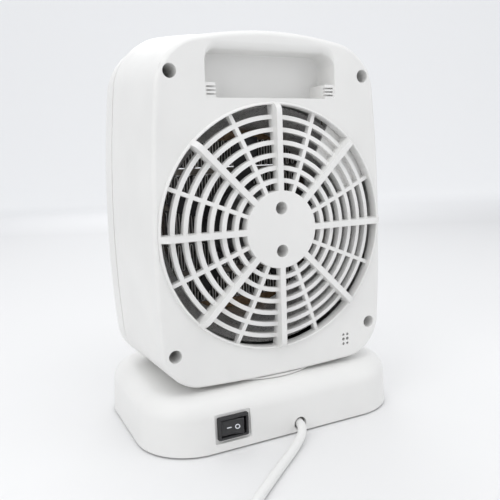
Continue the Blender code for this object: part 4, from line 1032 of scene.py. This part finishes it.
def blade_point(turn, radius, pitch, along, thick):
    sideways = along * math.cos(pitch) - thick * math.sin(pitch)
    depth = along * math.sin(pitch) + thick * math.cos(pitch)
    angle = turn + sideways / max(radius, 0.02)
    return radius * math.cos(angle), 0.0025 + depth, FAN_Z + radius * math.sin(angle)


# ---------------------------------------------------------------- base

def make_base_shell(shades):
    low_z = BASE_LOW.z
    edge_z = BASE_TOP - BASE_EDGE

    def surface(wall, steps):
        sections = [(low_z, wall), (blend(low_z, edge_z, 0.5), wall + BASE_DRAFT / 2),
                    (edge_z, wall + BASE_DRAFT)]
        if not wall:
            sections[0:1] = [(low_z, 0.0004), (low_z + 0.0005, 0.0)]
        for step in range(1, steps + 1):
            angle = math.radians(90 * step / steps)
            edge = BASE_EDGE - wall
            sections.append((edge_z + edge * math.sin(angle),
                             wall + BASE_DRAFT + edge * (1 - math.cos(angle))))
        sections.append((BASE_TOP - wall, wall + 0.026))
        rings = []
        for z, inset in sections:
            outline = rounded_rectangle(BASE_HALF_WIDTH - inset, BASE_HALF_DEPTH - inset,
                                        BASE_CORNER - inset, 20)
            rings.append([(x, y, z) for x, y in outline])
        return rings

    def to_hole(z):
        """The middle hole. Its points stand only round the corners, so its sides run straight."""
        return [[(0.0164 * x / math.hypot(x, y), 0.0164 * y / math.hypot(x, y), z)
                 for x, y in rounded_rectangle(0.07, 0.04, 0.0120, 20)]]

    rings = surface(0.0, 14) + to_hole(BASE_TOP) + to_hole(BASE_TOP - BASE_WALL)
    rings += reversed(surface(BASE_WALL, 6))
    skin = closed_loft(rings)
    base = as_object(skin, "base_body")
    posts = bmesh.new()
    for x, y in BASE_SCREWS:
        add_stepped(posts, (x, y, 0), (0, 0, 1), [(0.0045, 0.0043),
                                                  (0.0045, BASE_TOP - BASE_WALL / 2)])
    boolean(base, posts, "UNION")
    cuts = bmesh.new()
    for x, y in BASE_SCREWS:
        add_stepped(cuts, (x, y, 0), (0, 0, 1), [(0.0018, 0.0), (0.0018, 0.0185)], 16)
    rear = BASE_HALF_DEPTH
    add_stepped(cuts, (-0.0060, 0, 0.0065), (0, 1, 0),
                [(0.0043, 0.05), (0.0043, rear - 0.0010), (0.0045, rear - 0.0004),
                 (0.0049, rear), (0.0049, rear + 0.01)], 40)
    recess = rounded_rectangle(0.01235, 0.0095, 0.0012, 5)
    add_loft(cuts, [[(SWITCH_X + x * grow, y, SWITCH_Z + z * grow) for x, z in recess]
                    for grow, y in ((0.975, rear - RECESS_DEPTH),
                                    (0.985, rear - RECESS_DEPTH + 0.0003),
                                    (1.0, rear - 0.0006), (1.03, rear), (1.03, rear + 0.01))])
    boolean(base, cuts, "DIFFERENCE")
    opening = add_box(bmesh.new(), (SWITCH_X - 0.0100, 0.04, SWITCH_Z - 0.0070),
                      (SWITCH_X + 0.0100, 0.08, SWITCH_Z + 0.0070))
    boolean(base, opening, "DIFFERENCE")
    finish_piece(base, "base_shell_skin", "base", "white_plastic", shades,
                 ["base_shell"])


def make_turntable(shades):
    profile = [(0.0090, 0.0371), (0.0090, 0.0222), (0.0118, 0.0222), (0.0120, 0.0225),
               (0.0120, 0.0359), (0.0514, 0.0359), (0.0518, 0.0361), (0.0520, 0.0364),
               (0.0520, 0.0371)]
    rings = [[(radius * math.cos(math.tau * k / 128), radius * math.sin(math.tau * k / 128), z)
              for k in range(128)] for radius, z in profile]
    skin = closed_loft(rings)
    finish_piece(as_object(skin, "disc"), "turntable_disc", "head", "white_plastic",
                 shades, ["turntable"])


def make_switch(shades):
    low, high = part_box("switch_housing")
    rear = BASE_HALF_DEPTH - RECESS_DEPTH
    half_x, half_z = 0.0105, 0.0075
    outer = rounded_rectangle(half_x, half_z, 0.0011, 5)
    inner = rounded_rectangle(0.0085, 0.0056, 0.0005, 5)

    def ring(outline, grow, y):
        return [(SWITCH_X + x + grow * math.copysign(1, x), y,
                 SWITCH_Z + z + grow * math.copysign(1, z)) for x, z in outline]

    rings = [ring(outer, 0.0, rear + 0.0003), ring(outer, 0.0, high.y - 0.0010),
             ring(outer, -0.0003, high.y - 0.0003), ring(outer, -0.0009, high.y),
             ring(inner, 0.0006, high.y), ring(inner, 0.0001, high.y - 0.0003),
             ring(inner, 0.0, high.y - 0.0010), ring(inner, 0.0, rear + 0.0003)]
    behind = add_box(bmesh.new(), (SWITCH_X - 0.0096, low.y, SWITCH_Z - 0.0066),
                     (SWITCH_X + 0.0096, rear + 0.0010, SWITCH_Z + 0.0066))
    room = add_box(bmesh.new(), (SWITCH_X - 0.0085, 0.0520, SWITCH_Z - 0.0056),
                   (SWITCH_X + 0.0085, 0.08, SWITCH_Z + 0.0056))
    solid = as_object(behind, "behind")
    boolean(solid, room, "DIFFERENCE")
    data = closed_loft(rings)
    boolean(solid, data, "UNION")
    finish_piece(solid, "switch_bezel", "base", "black_plastic", shades,
                 ["switch_housing"])

    face = 0.0058
    outline = []
    for step in range(-8, 9):
        x = 0.0073 * step / 8
        outline.append((x, face - 0.0001 + 0.0011 * abs(step / 8) ** 1.2
                        - (0.00025 if abs(step) == 8 else 0.0)))
    outline += [(0.0073, face - 0.0002), (0.0070, 0.0010), (0.0030, -0.0040),
                (-0.0030, -0.0040), (-0.0070, 0.0010), (-0.0073, face - 0.0002)]

    def turned(x, y, z):
        return (SWITCH_X + x * math.cos(ROCKER_TILT) - y * math.sin(ROCKER_TILT),
                ROCKER_PIVOT_Y + x * math.sin(ROCKER_TILT) + y * math.cos(ROCKER_TILT),
                SWITCH_Z + z)

    rings = [[turned(x, y - (0.0003 if abs(z) > 0.0049 and y > face - 0.0005 else 0.0), z)
              for x, y in outline] for z in (-0.0050, -0.0047, 0.0047, 0.0050)]
    rocker = as_object(add_loft(bmesh.new(), rings), "rocker_body")
    finish_piece(rocker, "rocker_key", "rocker", "black_plastic", shades,
                 ["rocker"])
    make_switch_marks(shades, turned, face)


def make_switch_marks(shades, turned, face):
    """A ring for off and a bar for on, standing a hair proud of the rocker's two halves."""
    def on_face(x, z, lift):
        return turned(x, face - 0.0001 + 0.0011 * abs(x / 0.0073) ** 1.2 + lift, z)

    rows = []
    for radius, lift in ((0.0016, -0.0002), (0.0016, 0.00012), (0.0010, 0.00012),
                         (0.0010, -0.0002)):
        rows.append([on_face(-0.0032 + radius * math.cos(math.tau * k / 32),
                             radius * math.sin(math.tau * k / 32), lift) for k in range(32)])
    finish_piece(as_object(closed_loft(rows), "ring_mark"), "switch_mark_off", "rocker", "white_plastic",
                 shades, look="mark")
    bar = bmesh.new()
    outline = rounded_rectangle(0.0016, 0.0003, 0.00028, 4)
    add_loft(bar, [[on_face(0.0022 + x, z, lift) for x, z in outline]
                   for lift in (-0.0002, 0.00012)])
    finish_piece(as_object(bar, "bar_mark"), "switch_mark_on", "rocker", "white_plastic",
                 shades, look="mark")


def make_feet(shades):
    for number in range(1, 5):
        low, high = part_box(f"foot_{number}")
        middle = (low + high) / 2
        data = add_stepped(bmesh.new(), (middle.x, middle.y, 0), (0, 0, 1),
                           [(0.0064, low.z), (0.0068, 0.0002), (0.0070, 0.0005),
                            (0.0070, high.z)], 48)
        finish_piece(as_object(data, "foot"), f"foot_pad_{number}", "base", "rubber",
                     shades, [f"foot_{number}"])


# ---------------------------------------------------------------- mains lead

def cord_points():
    """The whole lead: out of the base, round the coil and on to the plug."""
    points = catmull_rom(CORD_ROUTE, 5)
    turns = (COIL_TO - COIL_FROM) / 360
    count = round(turns * 48)
    for step in range(count + 1):
        share = step / count
        angle = math.radians(blend(COIL_FROM, COIL_TO, share))
        inward = 1 - abs(2 * share - 1)
        radius = blend(COIL_OUTER, COIL_INNER, inward)
        climb = min(1.0, max(0.0, (share - 0.5) * turns / 0.3 + 0.5))
        climb = climb * climb * (3 - 2 * climb)
        height = blend(COIL_LOW_Z, COIL_HIGH_Z, climb)
        points.append(COIL_CENTRE + Vector((radius * math.cos(angle), radius * math.sin(angle),
                                            height)))
    tail = catmull_rom([points[-1], *TAIL_ROUTE], 4)
    return points + tail[1:]


def make_cord(shades):
    points = cord_points()
    curve = bpy.data.curves.new("mains_lead", "CURVE")
    curve.dimensions = "3D"
    curve.bevel_depth = CORD_RADIUS
    curve.bevel_resolution = 6
    curve.use_fill_caps = True
    curve.resolution_u = 1
    spline = curve.splines.new("POLY")
    spline.points.add(len(points) - 1)
    for target, point in zip(spline.points, points):
        target.co = (*point, 1.0)
    spline.use_smooth = True
    curve.materials.append(shades["cord_white"])
    lead = bpy.data.objects.new("mains_lead", curve)
    bpy.context.scene.collection.objects.link(lead)
    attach(lead, "base")
    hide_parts("power_cord", "cord_coil", "cord_tail")
    plug = make_plug(shades)
    tie = make_tie(shades)


def make_plug(shades):
    """The moulding of a two-blade plug, with finger ribs, lying on its flat side."""
    forward = Vector((*PLUG_DIRECTION, 0.0)).normalized()
    side = Vector((-forward.y, forward.x, 0.0))
    start = Vector(TAIL_ROUTE[-1]) + forward * 0.0003
    rings = []
    count = 48
    for step in range(count + 1):
        along = 0.0330 * step / count
        grow = min(1.0, max(0.0, (along - 0.0060) / 0.0190))
        grow = grow * grow * (3 - 2 * grow)
        ribs = 0.0005 * max(0.0, math.sin(along * math.tau / 0.0034)) if along > 0.015 else 0.0
        ribs *= 1.0 if along < 0.028 else 0.0
        end = 0.0006 if step == count else 0.0
        half_wide = blend(0.0042, 0.0130, grow) - ribs - end
        half_high = blend(0.0042, 0.0098, grow) - ribs * 0.6 - end
        radius = blend(0.0040, 0.0046, grow)
        centre = start + forward * along
        rings.append([centre + side * a + Vector((0, 0, b)) for a, b in
                      rounded_rectangle(half_wide, half_high, radius, 6)])
    plug = as_object(add_loft(bmesh.new(), rings), "plug_body")
    return finish_piece(plug, "plug_moulding", "base", "cord_white", shades,
                        ["plug"])


def make_tie(shades):
    """A thin tie that holds the coil together."""
    angle = math.radians(200)
    out = Vector((math.cos(angle), math.sin(angle), 0.0))
    along = Vector((-out.y, out.x, 0.0))
    centre = COIL_CENTRE + out * (COIL_OUTER + COIL_INNER) / 2
    centre.z = (COIL_LOW_Z + COIL_HIGH_Z) / 2
    half_wide = (COIL_OUTER - COIL_INNER) / 2 + CORD_RADIUS + 0.0002
    half_high = (COIL_HIGH_Z - COIL_LOW_Z) / 2 + CORD_RADIUS + 0.0001
    outer = rounded_rectangle(half_wide + 0.0006, half_high + 0.0001, 0.0034, 6)
    inner = rounded_rectangle(half_wide, half_high - 0.0005, 0.0030, 6)
    rings = [[centre + out * a + along * shift + Vector((0, 0, b)) for a, b in outline]
             for outline, shift in ((outer, -0.0020), (outer, 0.0020), (inner, 0.0020),
                                    (inner, -0.0020))]
    skin = closed_loft(rings)
    return finish_piece(as_object(skin, "tie"), "coil_tie", "base", "black_plastic",
                        shades)


# ---------------------------------------------------------------- carried-over CAD pieces

def dress_cad_nodes(shades):
    """Every CAD node that stays on show takes the procedural material of its slot."""
    slots = {part["node"]: part["material_slot"] for part in frame["record"]["subparts"]}
    for name, piece in frame["nodes"].items():
        shade = shades[slots[name]]
        piece.data.materials.clear()
        piece.data.materials.append(shade)
        piece.data.shade_smooth()
        piece.data.set_sharp_from_angle(angle=math.radians(30))


shades = make_materials()
add_camera()
add_stage()
make_cord(shades)
dress_cad_nodes(shades)
make_rear_cover(shades)
make_front_cover(shades)
make_seam_lip(shades)
make_front_grille(shades)
make_buttons(shades)
make_air_duct(shades)
make_heater_rows(shades)
make_impeller(shades)
make_base_shell(shades)
make_turntable(shades)
make_switch(shades)
make_feet(shades)
